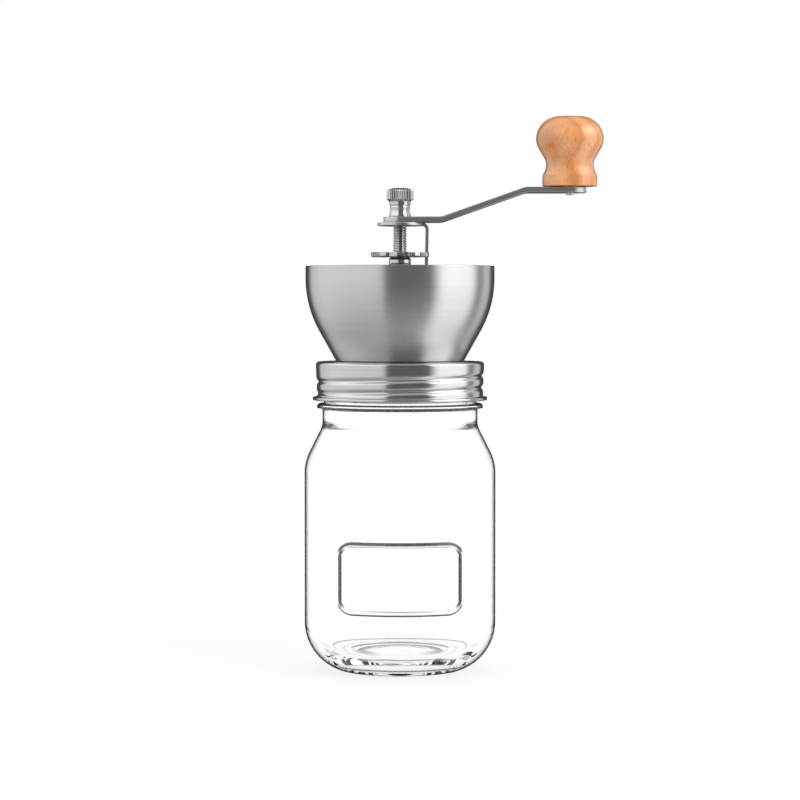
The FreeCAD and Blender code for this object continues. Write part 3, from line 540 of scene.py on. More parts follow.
@dataclass(frozen=True)
class LacqueredBeech:
    """Turned beech under satin lacquer: warm tan wood with fine upright pores and faint growth rings."""

    name: str = "lacquered_beech"
    light: str = "#E7A565"
    middle: str = "#D98E4C"
    dark: str = "#C07438"
    pore: str = "#A35A26"
    # Heart of the tree and its lean, from the origin, so that rings cross the knob off its axis
    heart: tuple[float, float, float] = (0.0855, 0.016, 0.2)
    lean: tuple[float, float, float] = (0.12, 0.2, 0.0)
    # Pores and rings are coarser than common beech has them, so that the render can show them
    pore_length: float = 0.0021
    pore_width: float = 0.00035
    pore_strength: float = 0.36
    pore_depth: float = 0.00008
    ring_width: float = 0.0065

    def material(self) -> bpy.types.Material:
        """The finish as a material."""
        material, tree, shader = new_material(self.name)
        place = add_node(tree, "ShaderNodeTexCoord").outputs["Object"]
        centred = add_node(
            tree,
            "ShaderNodeMapping",
            {"vector_type": "TEXTURE"},
            {"Vector": place, "Location": self.heart, "Rotation": self.lean},
        ).outputs["Vector"]
        # A ring wave repeats every pi / (10 * scale) metres.
        rings = add_node(
            tree,
            "ShaderNodeTexWave",
            {"wave_type": "RINGS", "rings_direction": "Z", "wave_profile": "SIN"},
            {
                "Vector": centred,
                "Scale": math.pi / (10.0 * self.ring_width),
                "Distortion": 3.0,
                "Detail": 3.0,
                "Detail Scale": 1.2,
            },
        ).outputs["Fac"]
        stretch = (1.0 / self.pore_width, 1.0 / self.pore_width, 1.0 / self.pore_length)
        fibres = add_node(
            tree,
            "ShaderNodeMapping",
            inputs={"Vector": centred, "Scale": stretch},
        ).outputs["Vector"]
        pores = add_node(
            tree,
            "ShaderNodeTexNoise",
            inputs={"Vector": fibres, "Scale": 0.55, "Detail": 2.0, "Roughness": 0.55},
        ).outputs["Fac"]
        clouds = add_node(
            tree,
            "ShaderNodeTexNoise",
            inputs={"Vector": centred, "Scale": 95.0, "Detail": 2.0},
        ).outputs["Fac"]
        body = set_ramp(
            add_node(tree, "ShaderNodeValToRGB", inputs={"Fac": rings}),
            [(0.0, linear(self.light)), (0.7, linear(self.middle)), (1.0, linear(self.dark))],
        )
        toned = add_node(
            tree,
            "ShaderNodeMix",
            {"data_type": "RGBA"},
            {"Factor": clouds, MIX_A: linear(self.middle), MIX_B: body},
        ).outputs[MIXED]
        mask = set_ramp(
            add_node(tree, "ShaderNodeValToRGB", inputs={"Fac": pores}),
            [(0.36, (1.0, 1.0, 1.0, 1.0)), (0.48, (0.0, 0.0, 0.0, 1.0))],
        )
        share = add_node(
            tree,
            "ShaderNodeMath",
            {"operation": "MULTIPLY"},
            {0: mask, 1: self.pore_strength},
        ).outputs[0]
        colour = add_node(
            tree,
            "ShaderNodeMix",
            {"data_type": "RGBA"},
            {"Factor": share, MIX_A: toned, MIX_B: linear(self.pore)},
        ).outputs[MIXED]
        bump = add_node(
            tree,
            "ShaderNodeBump",
            inputs={"Height": pores, "Strength": 0.25, "Distance": self.pore_depth},
        )
        tree.links.new(colour, shader.inputs["Base Color"])
        tree.links.new(bump.outputs["Normal"], shader.inputs["Normal"])
        shader.inputs["Roughness"].default_value = 0.42
        shader.inputs["Coat Weight"].default_value = 0.9
        shader.inputs["Coat Roughness"].default_value = 0.25
        shader.inputs["Coat IOR"].default_value = 1.75
        return material


@dataclass(frozen=True)
class Grained:
    """A moulded or fired material: one colour that varies softly, over a fine grain."""

    name: str
    colour: str
    shade: str
    roughness: float
    grain: float
    depth: float

    def material(self) -> bpy.types.Material:
        """The finish as a material."""
        material, tree, shader = new_material(self.name)
        place = add_node(tree, "ShaderNodeTexCoord").outputs["Object"]
        noise = add_node(
            tree,
            "ShaderNodeTexNoise",
            inputs={"Vector": place, "Scale": 1.0 / self.grain, "Detail": 4.0, "Roughness": 0.6},
        ).outputs["Fac"]
        tone = add_node(
            tree,
            "ShaderNodeMix",
            {"data_type": "RGBA"},
            {"Factor": noise, MIX_A: linear(self.shade), MIX_B: linear(self.colour)},
        )
        bump = add_node(
            tree, "ShaderNodeBump", inputs={"Height": noise, "Strength": 0.4, "Distance": self.depth}
        )
        tree.links.new(tone.outputs[MIXED], shader.inputs["Base Color"])
        tree.links.new(bump.outputs["Normal"], shader.inputs["Normal"])
        shader.inputs["Roughness"].default_value = self.roughness
        return material


@dataclass
class Jar:
    """Moulded jar with a round heel, sloping shoulder, neck bead, thread and raised label frame."""

    radius: float = 42.0
    height: float = 133.4
    wall: float = 3.2
    floor: float = 5.6
    heel: float = 22.0
    heel_rise: float = 5.2
    inner_heel: float = 16.0
    foot_inset: float = 15.2
    foot_width: float = 3.8
    foot_rounding: float = 1.2
    punt: float = 3.2
    punt_slope: float = 9.0
    punt_rounding: float = 40.0
    mouth: float = 30.0
    finish: float = 33.4
    bead: float = 36.5
    bead_top: float = 117.2
    bead_bottom: float = 115.1
    bead_rounding: float = 1.4
    bead_edge: float = 0.3
    bead_fillet: float = 0.8
    lip_rounding: float = 1.2
    neck: float = 34.1
    shoulder_top: float = 107.2
    shoulder_bottom: float = 91.4
    shoulder_rounding: float = 20.0
    neck_rounding: float = 8.0
    # The grip ring is only a painted dark line, with no relief: its height and width, and how far round it
    # the outline is drawn finer
    grip_height: float = 2.9
    grip_width: float = 0.5
    grip_reach: float = 1.2
    heel_wave: float = 0.09
    # Heights over which the heel's waves fade out, and radii over which they fade in from the floor
    heel_fade: tuple[float, float] = (8.0, 12.0)
    floor_fade: tuple[float, float] = (20.0, 26.0)
    label_half_width: float = 27.5
    label_half_height: float = 15.8
    label_middle: float = 43.2
    label_rounding: float = 7.0
    label_rib: float = 2.4
    label_relief: float = 0.6
    thread_height: float = 1.2
    thread_width: float = 2.2
    thread_pitch: float = 5.08
    thread_start: float = 120.5
    thread_turns: float = 1.6
    thread_ease: float = 0.08
    thread_foot: float = 0.4
    # How finely the outlines are drawn: angles in degrees, and the longest straight runs
    arc_turn: float = 3.0
    small_arc_turn: float = 10.0
    plain_run: float = 3.0
    thread_run: float = 0.5
    fine_run: float = 0.3
    # Spare height and width round the label frame and under the thread
    margin: float = 0.5

    @property
    def foot(self) -> float:
        """Outer radius of the ring that the jar stands on."""
        return self.radius - self.foot_inset

    @property
    def hollow(self) -> float:
        """Inner radius of that ring, where the punt begins."""
        return self.foot - self.foot_width

    @property
    def label_turn(self) -> float:
        """How far the label frame's corners reach along its sides, with some to spare."""
        return self.label_rounding + 2.0 * self.margin

    def outside(self) -> np.ndarray:
        """The outer outline from the punt to the lip, fine at the grip ring's painted line, the label frame
        and the thread.
        """
        low = self.label_middle - self.label_half_height
        high = self.label_middle + self.label_half_height
        low_turn = low + self.label_turn
        high_turn = high - self.label_turn
        outline = rounded(
            [
                (0.0, self.punt, 0.0),
                (self.hollow - self.punt_slope, self.punt, self.punt_rounding),
                (self.hollow, 0.0, self.foot_rounding),
                (self.foot, 0.0, self.foot_rounding),
                (self.radius, self.heel_rise, self.heel),
                (self.radius, low - self.margin, 0.0),
                (self.radius, low_turn, 0.0),
                (self.radius, high_turn, 0.0),
                (self.radius, high + self.margin, 0.0),
                (self.radius, self.shoulder_bottom, self.shoulder_rounding),
                (self.neck, self.shoulder_top, self.neck_rounding),
                (self.neck, self.bead_bottom, self.bead_fillet),
                (self.bead, self.bead_bottom, self.bead_edge),
                (self.bead, self.bead_top, self.bead_rounding),
                (self.finish, self.bead_top, self.bead_fillet),
                (self.finish, self.height, self.lip_rounding),
                (self.mouth, self.height, 0.0),
            ],
            turn=self.arc_turn,
            small_turn=self.small_arc_turn,
        )[:-1]
        middle = (outline[1:, 1] + outline[:-1, 1]) / 2.0
        upright = np.abs(outline[1:, 0] - outline[:-1, 0]) < TINY
        framed = (middle > low - self.margin) & (middle < high + self.margin) & upright
        between = (middle > low_turn) & (middle < high_turn)
        threaded = middle > self.bead_top + self.margin
        gripping = (np.abs(middle - self.grip_height) < self.grip_reach) & (outline[1:, 0] > self.foot)
        longest = np.where(threaded, self.thread_run, self.plain_run)
        longest = np.where((framed & ~between) | gripping, self.fine_run, longest)
        return subdivided(outline, longest)

    def inside(self) -> np.ndarray:
        """The inner outline from the lip to the middle of the floor."""
        inner = self.radius - self.wall
        outline = rounded(
            [
                (self.finish, self.height, 0.0),
                (self.mouth, self.height, self.lip_rounding),
                (self.mouth, self.shoulder_top + self.wall / 2, self.neck_rounding + self.wall),
                (inner, self.shoulder_bottom - self.wall / 2, self.shoulder_rounding - self.wall),
                (inner, self.floor, self.inner_heel),
                (0.0, self.floor, 0.0),
            ],
            turn=self.arc_turn,
            small_turn=self.small_arc_turn,
        )[1:]
        return subdivided(outline, self.plain_run)

    def angles(self) -> np.ndarray:
        """Angles round the jar, fine at the two upright sides of the label frame, which faces -Y."""
        outer = math.asin((self.label_half_width + self.margin) / self.radius)
        inner = math.asin((self.label_half_width - self.label_turn) / self.radius)
        spans = (
            (-inner, inner, 30),
            (inner, outer, 36),
            (outer, FULL_TURN - outer, 180),
            (-outer, -inner, 36),
        )
        rows = [np.linspace(start, end, count, endpoint=False) for start, end, count in spans]
        return np.sort(np.concatenate(rows) % FULL_TURN) - math.pi / 2.0

    def frame_relief(self, x: np.ndarray, z: np.ndarray) -> tuple[np.ndarray, np.ndarray]:
        """Height of the label frame's rib, and the shade painted on its flanks.

        With d the signed distance to a rounded rectangle, the rib is a parabola over the strip where d lies
        between minus the rib's width and 0. Shade is painted on its outer flank along the top and, more
        thinly, along the bottom, and on its inner flank along the upright sides, in place of the rib's
        refraction.

        Args:
            x: Chord across the front.
            z: Height.

        Returns:
            The rib's height at each point, and the painted shade of its flanks from 0 to 1.
        """
        rise = z - self.label_middle
        qx = np.abs(x) - (self.label_half_width - self.label_rounding)
        qz = np.abs(rise) - (self.label_half_height - self.label_rounding)
        corner = np.hypot(np.maximum(qx, 0.0), np.maximum(qz, 0.0))
        distance = corner + np.minimum(np.maximum(qx, qz), 0.0) - self.label_rounding
        share = 2.0 * distance / self.label_rib + 1.0
        height = self.label_relief * np.maximum(0.0, 1.0 - share * share)
        upright = np.where(corner > 0.0, np.maximum(qx, 0.0) / np.maximum(corner, TINY), qx > qz)
        level = smooth_step(rise, -self.label_half_height, -0.4 * self.label_half_height)
        # Steep ramps over the share, which runs from -1 at the rib's inner foot to 1 at its outer foot
        outer = np.clip(5.0 * (share + 0.35 - 0.55 * (1.0 - level)), 0.0, 1.0)
        outer = outer * (1.0 - smooth_step(upright, 0.86, 1.0))
        inner = np.clip(0.5 - 4.0 * share, 0.0, 1.0) * smooth_step(upright, 0.4, 0.9)
        return height, np.where(np.abs(share) < 1.0, np.maximum(outer, inner), 0.0)

    def thread_relief(self, angles: np.ndarray, z: np.ndarray) -> np.ndarray:
        """Height of the thread, a rounded ridge that climbs one pitch a turn and eases out at both ends."""
        total = np.zeros(np.broadcast_shapes(angles.shape, z.shape))
        for lap in range(math.ceil(self.thread_turns)):
            turns = (angles % FULL_TURN) / FULL_TURN + lap
            centre = self.thread_start + self.thread_pitch * turns
            ease = smooth_step(turns, 0.0, self.thread_ease)
            ease = ease * (1.0 - smooth_step(turns, self.thread_turns - self.thread_ease, self.thread_turns))
            share = np.clip(np.abs(z - centre) / (self.thread_width / 2), 0.0, 1.0)
            total = np.maximum(total, ease * self.thread_height * np.cos(share * math.pi / 2) ** 1.5)
        return total

    def painted_edge_shade(self, r: np.ndarray, z: np.ndarray, angles: np.ndarray) -> np.ndarray:
        """How dark the glass is painted where real glass turns light away: at the bead, the foot and the
        punt.

        Painted dark lines run all round at the bead's two edges. The foot ring and the fine grip ring above
        it fade as bell curves from their middles; the grip ring has no relief, only this painted line. The
        punt's slope is a half wave over its radius, strongest where it faces sideways.

        Args:
            r: Radius of the outer outline's points.
            z: Height of the same points.
            angles: Angles round the jar.

        Returns:
            Painted shade from 0 to 1 at each point.
        """
        # The bead's painted dark lines lie just above its lower edge and just below its upper edge
        lower = (np.abs(z - self.bead_bottom - 0.25) < 0.5) & (r > self.neck + 0.2)
        upper = (np.abs(z - self.bead_top + 0.35) < 0.45) & (r > self.bead - 1.5)
        # Painted dark lines at the foot ring, the grip ring and the punt's slope, where real glass turns
        # light away
        ring = 0.8 * np.exp(-(((r - self.foot) / 0.5) ** 2)) * (z < 1.0)
        share = np.clip((r - self.hollow + self.punt_slope) / self.punt_slope, 0.0, 1.0)
        slope = np.sin(share * math.pi) * (r < self.hollow) * (z < self.floor)
        grip = np.exp(-(((z - self.grip_height) / self.grip_width) ** 2)) * (r > self.foot)
        sides = slope * smooth_step(np.abs(np.cos(angles)), 0.35, 0.9)
        return np.maximum(np.maximum(np.maximum(lower | upper, ring), grip), sides)

    def heel_relief(self, r: np.ndarray, z: np.ndarray, angles: np.ndarray) -> np.ndarray:
        """Unevenness of the moulded inner heel: three waves round the jar, two of which drift with height.

        Args:
            r: Radius of the inner outline's points.
            z: Height of the same points.
            angles: Angles round the jar.

        Returns:
            What is added to the radius at each point. It fades out above the heel and on the floor.
        """
        waves = np.sin(7 * angles + 0.4) + 0.8 * np.sin(11 * angles + 0.3 * z + 2.0)
        waves = waves + 0.6 * np.sin(17 * angles - 0.5 * z + 1.1)
        share = (1.0 - smooth_step(z, *self.heel_fade)) * smooth_step(r, *self.floor_fade)
        return self.heel_wave * waves * share

    def build(self) -> bpy.types.Object:
        """The glass as one closed skin, outer face, lip and inner face."""
        angles = self.angles()
        outside = self.outside()
        r, z = outside[:, :1], outside[:, 1:]
        front = (np.sin(angles) < 0.0) & (np.abs(r - self.radius) < NEAR)
        relief, painted_flank_shade = self.frame_relief(r * np.cos(angles), z + 0.0 * angles)
        swell = np.where(front, relief, 0.0)
        threaded = z > self.bead_top + self.thread_foot
        swell = swell + np.where(threaded, self.thread_relief(angles, z), 0.0)
        inside = self.inside()
        outline = np.vstack([outside, inside])
        uneven = self.heel_relief(inside[:, :1], inside[:, 1:], angles)
        # Painted shade: dark lines on the frame's flanks and at the bead, foot, grip ring and punt, where
        # real glass turns light away
        mark = np.maximum(np.where(front, painted_flank_shade, 0.0), self.painted_edge_shade(r, z, angles))
        mark = np.vstack([mark, np.zeros_like(uneven)])
        swell = np.vstack([swell, uneven])
        return make_piece("jar_glass", [Patch(revolved(outline, angles, swell), mark=mark)], crease=70.0)

    def dress(self) -> None:
        """Builds the jar and seats it, with dark edges, painted shade where it is seen edge on, on its outer
        face only.
        """
        outer = len(self.outside())
        inner = len(self.inside())
        glass = SodaLimeGlass(outer_share=outer / (outer + inner)).material()
        seat(self.build(), glass, Body.JAR, Slot.GLASS, "jar")


@dataclass
class ScrewBand:
    """Pressed band with a top plate, a rolled right-hand thread and a curled lower edge."""

    radius: float = 37.0
    sheet: float = 0.5
    top: float = 135.5
    hole: float = 16.8
    corner: float = 1.5
    groove_depth: float = 0.9
    groove_width: float = 1.0
    groove_start: float = 121.6
    pitch: float = 5.08
    first_turn: float = -0.06
    last_turn: float = 1.6
    waist: float = 36.5
    curl: float = 38.4
    curl_top: float = 120.1
    curl_neck: float = 0.6
    curl_fillet: float = 0.3
    curl_share: float = 0.95
    hem_edge: float = 0.2
    bottom: float = 118.5
    groove_ease: float = 0.12
    # The wall's first and last points keep clear of the arcs that it runs into
    wall_gap: float = 0.1
    wall_run: float = 0.25
    # A run past the top corner that gives its arc a direction and is cut off again
    skirt: float = 3.0

    def groove(self, angles: np.ndarray, z: np.ndarray) -> np.ndarray:
        """Depth of the rolled thread: a bell-shaped groove that climbs one pitch a turn from the left."""
        total = np.zeros(np.broadcast_shapes(angles.shape, z.shape))
        base = ((angles - math.pi) % FULL_TURN) / FULL_TURN
        for lap in (-1, 0, 1):
            turns = base + lap
            centre = self.groove_start + self.pitch * turns
            ease = smooth_step(turns, self.first_turn, self.first_turn + self.groove_ease)
            ease = ease * (1.0 - smooth_step(turns, self.last_turn - self.groove_ease, self.last_turn))
            total += ease * np.exp(-(((z - centre) / self.groove_width) ** 2))
        return self.groove_depth * total

    def build(self) -> bpy.types.Object:
        """The band as one closed skin: plate, wall, curl and inner face."""
        neck = self.curl_top + self.curl_neck
        wall_ends = [
            (self.radius, self.top - self.corner - self.wall_gap),
            (self.waist, neck + self.wall_gap),
        ]
        wall = subdivided(np.array(wall_ends), self.wall_run)
        plate = rounded(
            [
                (self.hole, self.top, 0.0),
                (self.radius, self.top, self.corner),
                (self.radius, self.top - self.skirt, 0.0),
            ]
        )[:-1]
        curl_rounding = self.curl_share * (self.curl_top - self.bottom) / 2.0
        curl = rounded(
            [
                (self.waist, neck, 0.0),
                (self.waist, self.curl_top, self.curl_fillet),
                (self.curl, self.curl_top, curl_rounding),
                (self.curl, self.bottom, curl_rounding),
                (self.waist - self.sheet, self.bottom, self.hem_edge),
                (self.waist - self.sheet, neck, 0.0),
            ]
        )
        inner_wall = wall[::-1] - (self.sheet, 0.0)
        inner = self.radius - self.sheet
        under = rounded(
            [
                (inner, self.top - self.skirt, 0.0),
                (inner, self.top - self.sheet, self.corner - self.sheet),
                (self.hole, self.top - self.sheet, 0.0),
            ]
        )[1:]
        parts = [plate, wall, curl, inner_wall, under]
        outline = np.concatenate(parts)
        angles = around(240)
        rolled = np.concatenate([np.full(len(part), part is wall or part is inner_wall) for part in parts])
        swell = np.where(rolled[:, None], -self.groove(angles, outline[:, 1:]), 0.0)
        return make_piece("screw_band_steel", [Patch(revolved(outline, angles, swell), rows_close=True)])

    def dress(self, steel: bpy.types.Material) -> None:
        """Builds the band and seats it."""
        seat(self.build(), steel, Body.HEAD, Slot.SHEET, "screw_band")


@dataclass
class Hopper:
    """Spun steel bowl with a plain rim and a throat."""

    throat: float = 16.5
    base: float = 28.0
    floor: float = 135.5
    radius: float = 41.5
    knee: float = 159.6
    side: float = 47.0
    corner: float = 1.5
    rim: float = 177.4
    rim_rounding: float = 0.35
    sheet: float = 1.0
    arc_turn: float = 2.5
    plain_run: float = 2.0

    def build(self) -> bpy.types.Object:
        """The bowl as one closed skin, outer face, rim and inner face."""
        path = [
            (self.throat, self.floor, 0.0),
            (self.base, self.floor, self.corner),
            (self.radius, self.knee, self.side),
            (self.radius, self.rim, 0.0),
        ]
        inner = offset_corners(path, self.sheet)[::-1]
        path[-1] = (*path[-1][:2], self.rim_rounding)
        inner[0] = (*inner[0][:2], self.rim_rounding)
        outline = subdivided(rounded(path + inner, turn=self.arc_turn), self.plain_run)
        return make_piece("hopper_bowl_steel", [Patch(revolved(outline, around(240)), rows_close=True)])

    def dress(self, steel: bpy.types.Material) -> None:
        """Builds the bowl and seats it."""
        seat(self.build(), steel, Body.HEAD, Slot.SHEET, "hopper_bowl")


@dataclass
class AdjustingNut:
    """Notched disc on a round hub."""

    bore: float = 3.05
    hub: float = 4.9
    hub_rounding: float = 0.8
    hub_chamfer: float = 0.9
    bottom: float = 177.4
    disc_bottom: float = 181.3
    disc_top: float = 183.4
    disc: float = 13.0
    disc_edge: float = 0.45
    bore_edge: float = 0.3
    # The disc is cut back in full at its edge and not at all inside this radius
    uncut: float = 10.0
    notch_floor: float = 10.35
    notch_half_width: float = 2.25
    flank_inside: float = 0.25
    flank_outside: float = 0.3
    notches: int = 10

    def edge(self, angles: np.ndarray) -> np.ndarray:
        """How far the disc's edge is cut back: fully inside a notch, with a short eased flank."""
        step = FULL_TURN / self.notches
        apart = np.abs((angles + step / 2) % step - step / 2) * self.disc
        start = self.notch_half_width - self.flank_inside
        end = self.notch_half_width + self.flank_outside
        return (1.0 - smooth_step(apart, start, end)) * (self.disc - self.notch_floor)

    def build(self) -> bpy.types.Object:
        """The nut as one closed skin, with the disc's edge drawn in at the notches."""
        outline = rounded(
            [
                (self.bore, self.bottom, 0.0),
                (self.hub, self.bottom, self.hub_rounding),
                (self.hub, self.disc_bottom - self.hub_chamfer, self.hub_rounding),
                (self.hub - self.hub_chamfer, self.disc_bottom, 0.0),
                (self.uncut, self.disc_bottom, 0.0),
                (self.disc, self.disc_bottom, self.disc_edge),
                (self.disc, self.disc_top, self.disc_edge),
                (self.uncut, self.disc_top, 0.0),
                (self.bore, self.disc_top, self.bore_edge),
            ],
            turn=15.0,
        )
        angles = around(360)
        share = np.clip((outline[:, :1] - self.uncut) / (self.disc - self.uncut), 0.0, 1.0)
        grid = revolved(outline, angles, -share * self.edge(angles))
        return make_piece("adjusting_nut_steel", [Patch(grid, rows_close=True)])

    def dress(self, steel: bpy.types.Material) -> None:
        """Builds the nut and seats it."""
        seat(self.build(), steel, Body.ADJUSTER, Slot.TURNED, "adjusting_nut")


@dataclass
class DriveShaft:
    """Steel rod, threaded over its upper part, with two flats at each end."""

    radius: float = 3.0
    bottom: float = 116.3
    top: float = 208.2
    thread_bottom: float = 172.0
    pitch: float = 1.1
    depth: float = 0.6
    steepness: float = 2.6
    chamfer: float = 0.5
    flat: float = 2.2
    flats_below: float = 136.5
    flats_above: float = 194.9

    def build(self) -> bpy.types.Object:
        """The rod: a V thread of one pitch a turn above, and both ends held between the flats."""
        tip = self.radius - self.chamfer
        plain = np.array(
            [
                (0.0, self.bottom),
                (tip, self.bottom),
                (self.radius, self.bottom + self.chamfer),
                (self.radius, self.thread_bottom),
            ]
        )
        thread_top = self.top - self.chamfer
        threaded = np.array([(self.radius, self.thread_bottom + 0.1), (self.radius, thread_top)])
        upper_end = np.array([(tip, self.top), (0.0, self.top)])
        outline = np.concatenate([subdivided(plain, 4.0), subdivided(threaded, 0.1), upper_end])
        angles = around(48)
        z = outline[:, 1:]
        phase = (z / self.pitch - angles / FULL_TURN) % 1.0
        ease = smooth_step(z, self.thread_bottom, self.thread_bottom + 1.0) * (z < thread_top + 0.05)
        groove = self.depth * np.clip(1.0 - np.abs(phase - 0.5) * self.steepness, 0.0, 1.0) * ease
        grid = revolved(outline, angles, -groove)
        ends = (z < self.flats_below) | (z > self.flats_above)
        grid[..., 1] = np.where(ends, np.clip(grid[..., 1], -self.flat, self.flat), grid[..., 1])
        return make_piece("drive_shaft_steel", [Patch(grid)], crease=50.0)

    def dress(self, steel: bpy.types.Material) -> None:
        """Builds the shaft and seats it."""
        seat(self.build(), steel, Body.SHAFT, Slot.TURNED, "drive_shaft")


@dataclass
class LockPlate:
    """Round plate with one tab bent down into a notch of the adjusting nut."""

    bottom: float = 194.9
    thickness: float = 1.5
    radius: float = 9.9
    bore: float = 2.4
    reach: float = 12.3
    leg_bottom: float = 174.4
    leg_width: float = 4.0
    bend: float = 3.0
    lean: float = 0.4
    edge: float = 0.3
    tab_root: float = 4.5
    tab_edge: float = 0.25

    def build(self) -> bpy.types.Object:
        """The plate, a flat ring, and the tab, a thin bar carried along its bent middle line."""
        top = self.bottom + self.thickness
        ring = rounded(
            [
                (self.bore, self.bottom, 0.0),
                (self.radius, self.bottom, self.edge),
                (self.radius, top, self.edge),
                (self.bore, top, 0.0),
            ],
            turn=30.0,
        )
        half = self.thickness / 2.0
        path = rounded(
            [
                (self.tab_root, top - half, 0.0),
                (self.reach + self.lean - half, top - half, self.bend - half),
                (self.reach - half, self.leg_bottom, 0.0),
            ],
            turn=6.0,
        )
        path = subdivided(path, 1.5)
        section = bar_section(half, self.tab_edge, self.leg_width / 2)
        tab = swept(path, section, np.full(len(path), self.leg_width / 2))
        plate_skin = Patch(revolved(ring, around(96)), rows_close=True)
        return make_piece("lock_plate_steel", [plate_skin, Patch(capped(tab))])

    def dress(self, steel: bpy.types.Material) -> None:
        """Builds the plate and seats it."""
        seat(self.build(), steel, Body.SHAFT, Slot.SHEET, "lock_plate")


@dataclass
class CrankArm:
    """Flat bar with two bends and full-round ends."""

    bottom: float = 196.4
    thickness: float = 2.5
    width: float = 14.5
    rise: float = 13.0
    first_bend: float = 18.3
    second_bend: float = 55.0
    bend: float = 7.0
    throw: float = 74.5
    edge: float = 0.4
    end_steps: int = 24

    def build(self) -> bpy.types.Object:
        """The bar: a rounded rectangle along the bent middle line, drawn in to half circles at the ends."""
        half = self.thickness / 2.0
        end = self.width / 2.0
        low = self.bottom + half
        high = self.bottom + self.rise + half
        middle = rounded(
            [
                (-end, low, 0.0),
                (self.first_bend, low, self.bend + half),
                (self.second_bend, high, self.bend + half),
                (self.throw + end, high, 0.0),
            ],
            turn=2.0,
        )
        ease = end * (1.0 - np.cos(np.linspace(0.0, math.pi / 2.0, self.end_steps)))
        left = np.column_stack([-end + ease, np.full_like(ease, low)])
        right = np.column_stack([self.throw + end - ease[::-1], np.full_like(ease, high)])
        body = subdivided(np.vstack([left[-1:], middle[1:-1], right[:1]]), 1.5)
        path = np.vstack([left[:-1], body, right[1:]])
        inset = np.minimum(np.minimum(path[:, 0] + end, self.throw + end - path[:, 0]), end)
        width = np.sqrt(np.maximum(0.0, end * end - (end - inset) ** 2))
        section = bar_section(half, self.edge, end)
        return make_piece("crank_arm_steel", [Patch(swept(path, section, width))], crease=32.0)

    def dress(self, steel: bpy.types.Material) -> None:
        """Builds the arm and seats it."""
        seat(self.build(), steel, Body.SHAFT, Slot.SHEET, "crank_arm")


@dataclass
class ThumbNut:
    """Waisted nut with a straight-knurled, domed head."""

    bottom: float = 198.9
    top: float = 211.5
    head: float = 5.95
    knurl_bottom: float = 206.6
    knurl_top: float = 210.5
    knurls: int = 32
    knurl_depth: float = 0.4
    # How far inside the head's radius the knurl starts and is full
    knurl_start: float = 0.75
    knurl_full: float = 0.1
    shoulder: float = 4.65
    groove: float = 4.15
    waist: float = 4.05
    foot: float = 4.8
    foot_height: float = 0.6
    # Heights of the turned steps, measured down from the knurl
    waist_drop: float = 4.9
    bead_drop: float = 3.5
    groove_drop: float = 2.8
    shoulder_drop: float = 2.5
    neck_drop: float = 1.0
    edge: float = 0.3
    fine_edge: float = 0.2
    head_edge: float = 0.5
    waist_rounding: float = 1.2
    dome_share: float = 0.55
    dome_rounding: float = 3.0

    def build(self) -> bpy.types.Object:
        """The nut: a turned outline whose head swells and sinks with the knurl."""
        bead = (self.shoulder + self.groove) / 2
        outline = rounded(
            [
                (0.0, self.bottom, 0.0),
                (self.foot, self.bottom, self.edge),
                (self.foot, self.bottom + self.foot_height, self.edge),
                (self.waist, self.knurl_bottom - self.waist_drop, self.waist_rounding),
                (bead, self.knurl_bottom - self.bead_drop, self.edge),
                (self.groove, self.knurl_bottom - self.groove_drop, self.fine_edge),
                (self.shoulder, self.knurl_bottom - self.shoulder_drop, self.fine_edge),
                (self.shoulder, self.knurl_bottom - self.neck_drop, self.edge),
                (self.head, self.knurl_bottom, self.fine_edge),
                (self.head, self.knurl_top, self.head_edge),
                (self.head * self.dome_share, self.top, self.dome_rounding),
                (0.0, self.top, 0.0),
            ],
            turn=10.0,
        )
        angles = around(self.knurls * 8)
        share = smooth_step(outline[:, :1], self.head - self.knurl_start, self.head - self.knurl_full)
        wave = np.abs((angles * self.knurls / FULL_TURN) % 1.0 - 0.5) * 2.0
        swell = -share * self.knurl_depth * wave**1.5
        return make_piece("thumb_nut_steel", [Patch(revolved(outline, angles, swell))], crease=50.0)

    def dress(self, steel: bpy.types.Material) -> None:
        """Builds the nut and seats it."""
        seat(self.build(), steel, Body.SHAFT, Slot.TURNED, "thumb_nut")


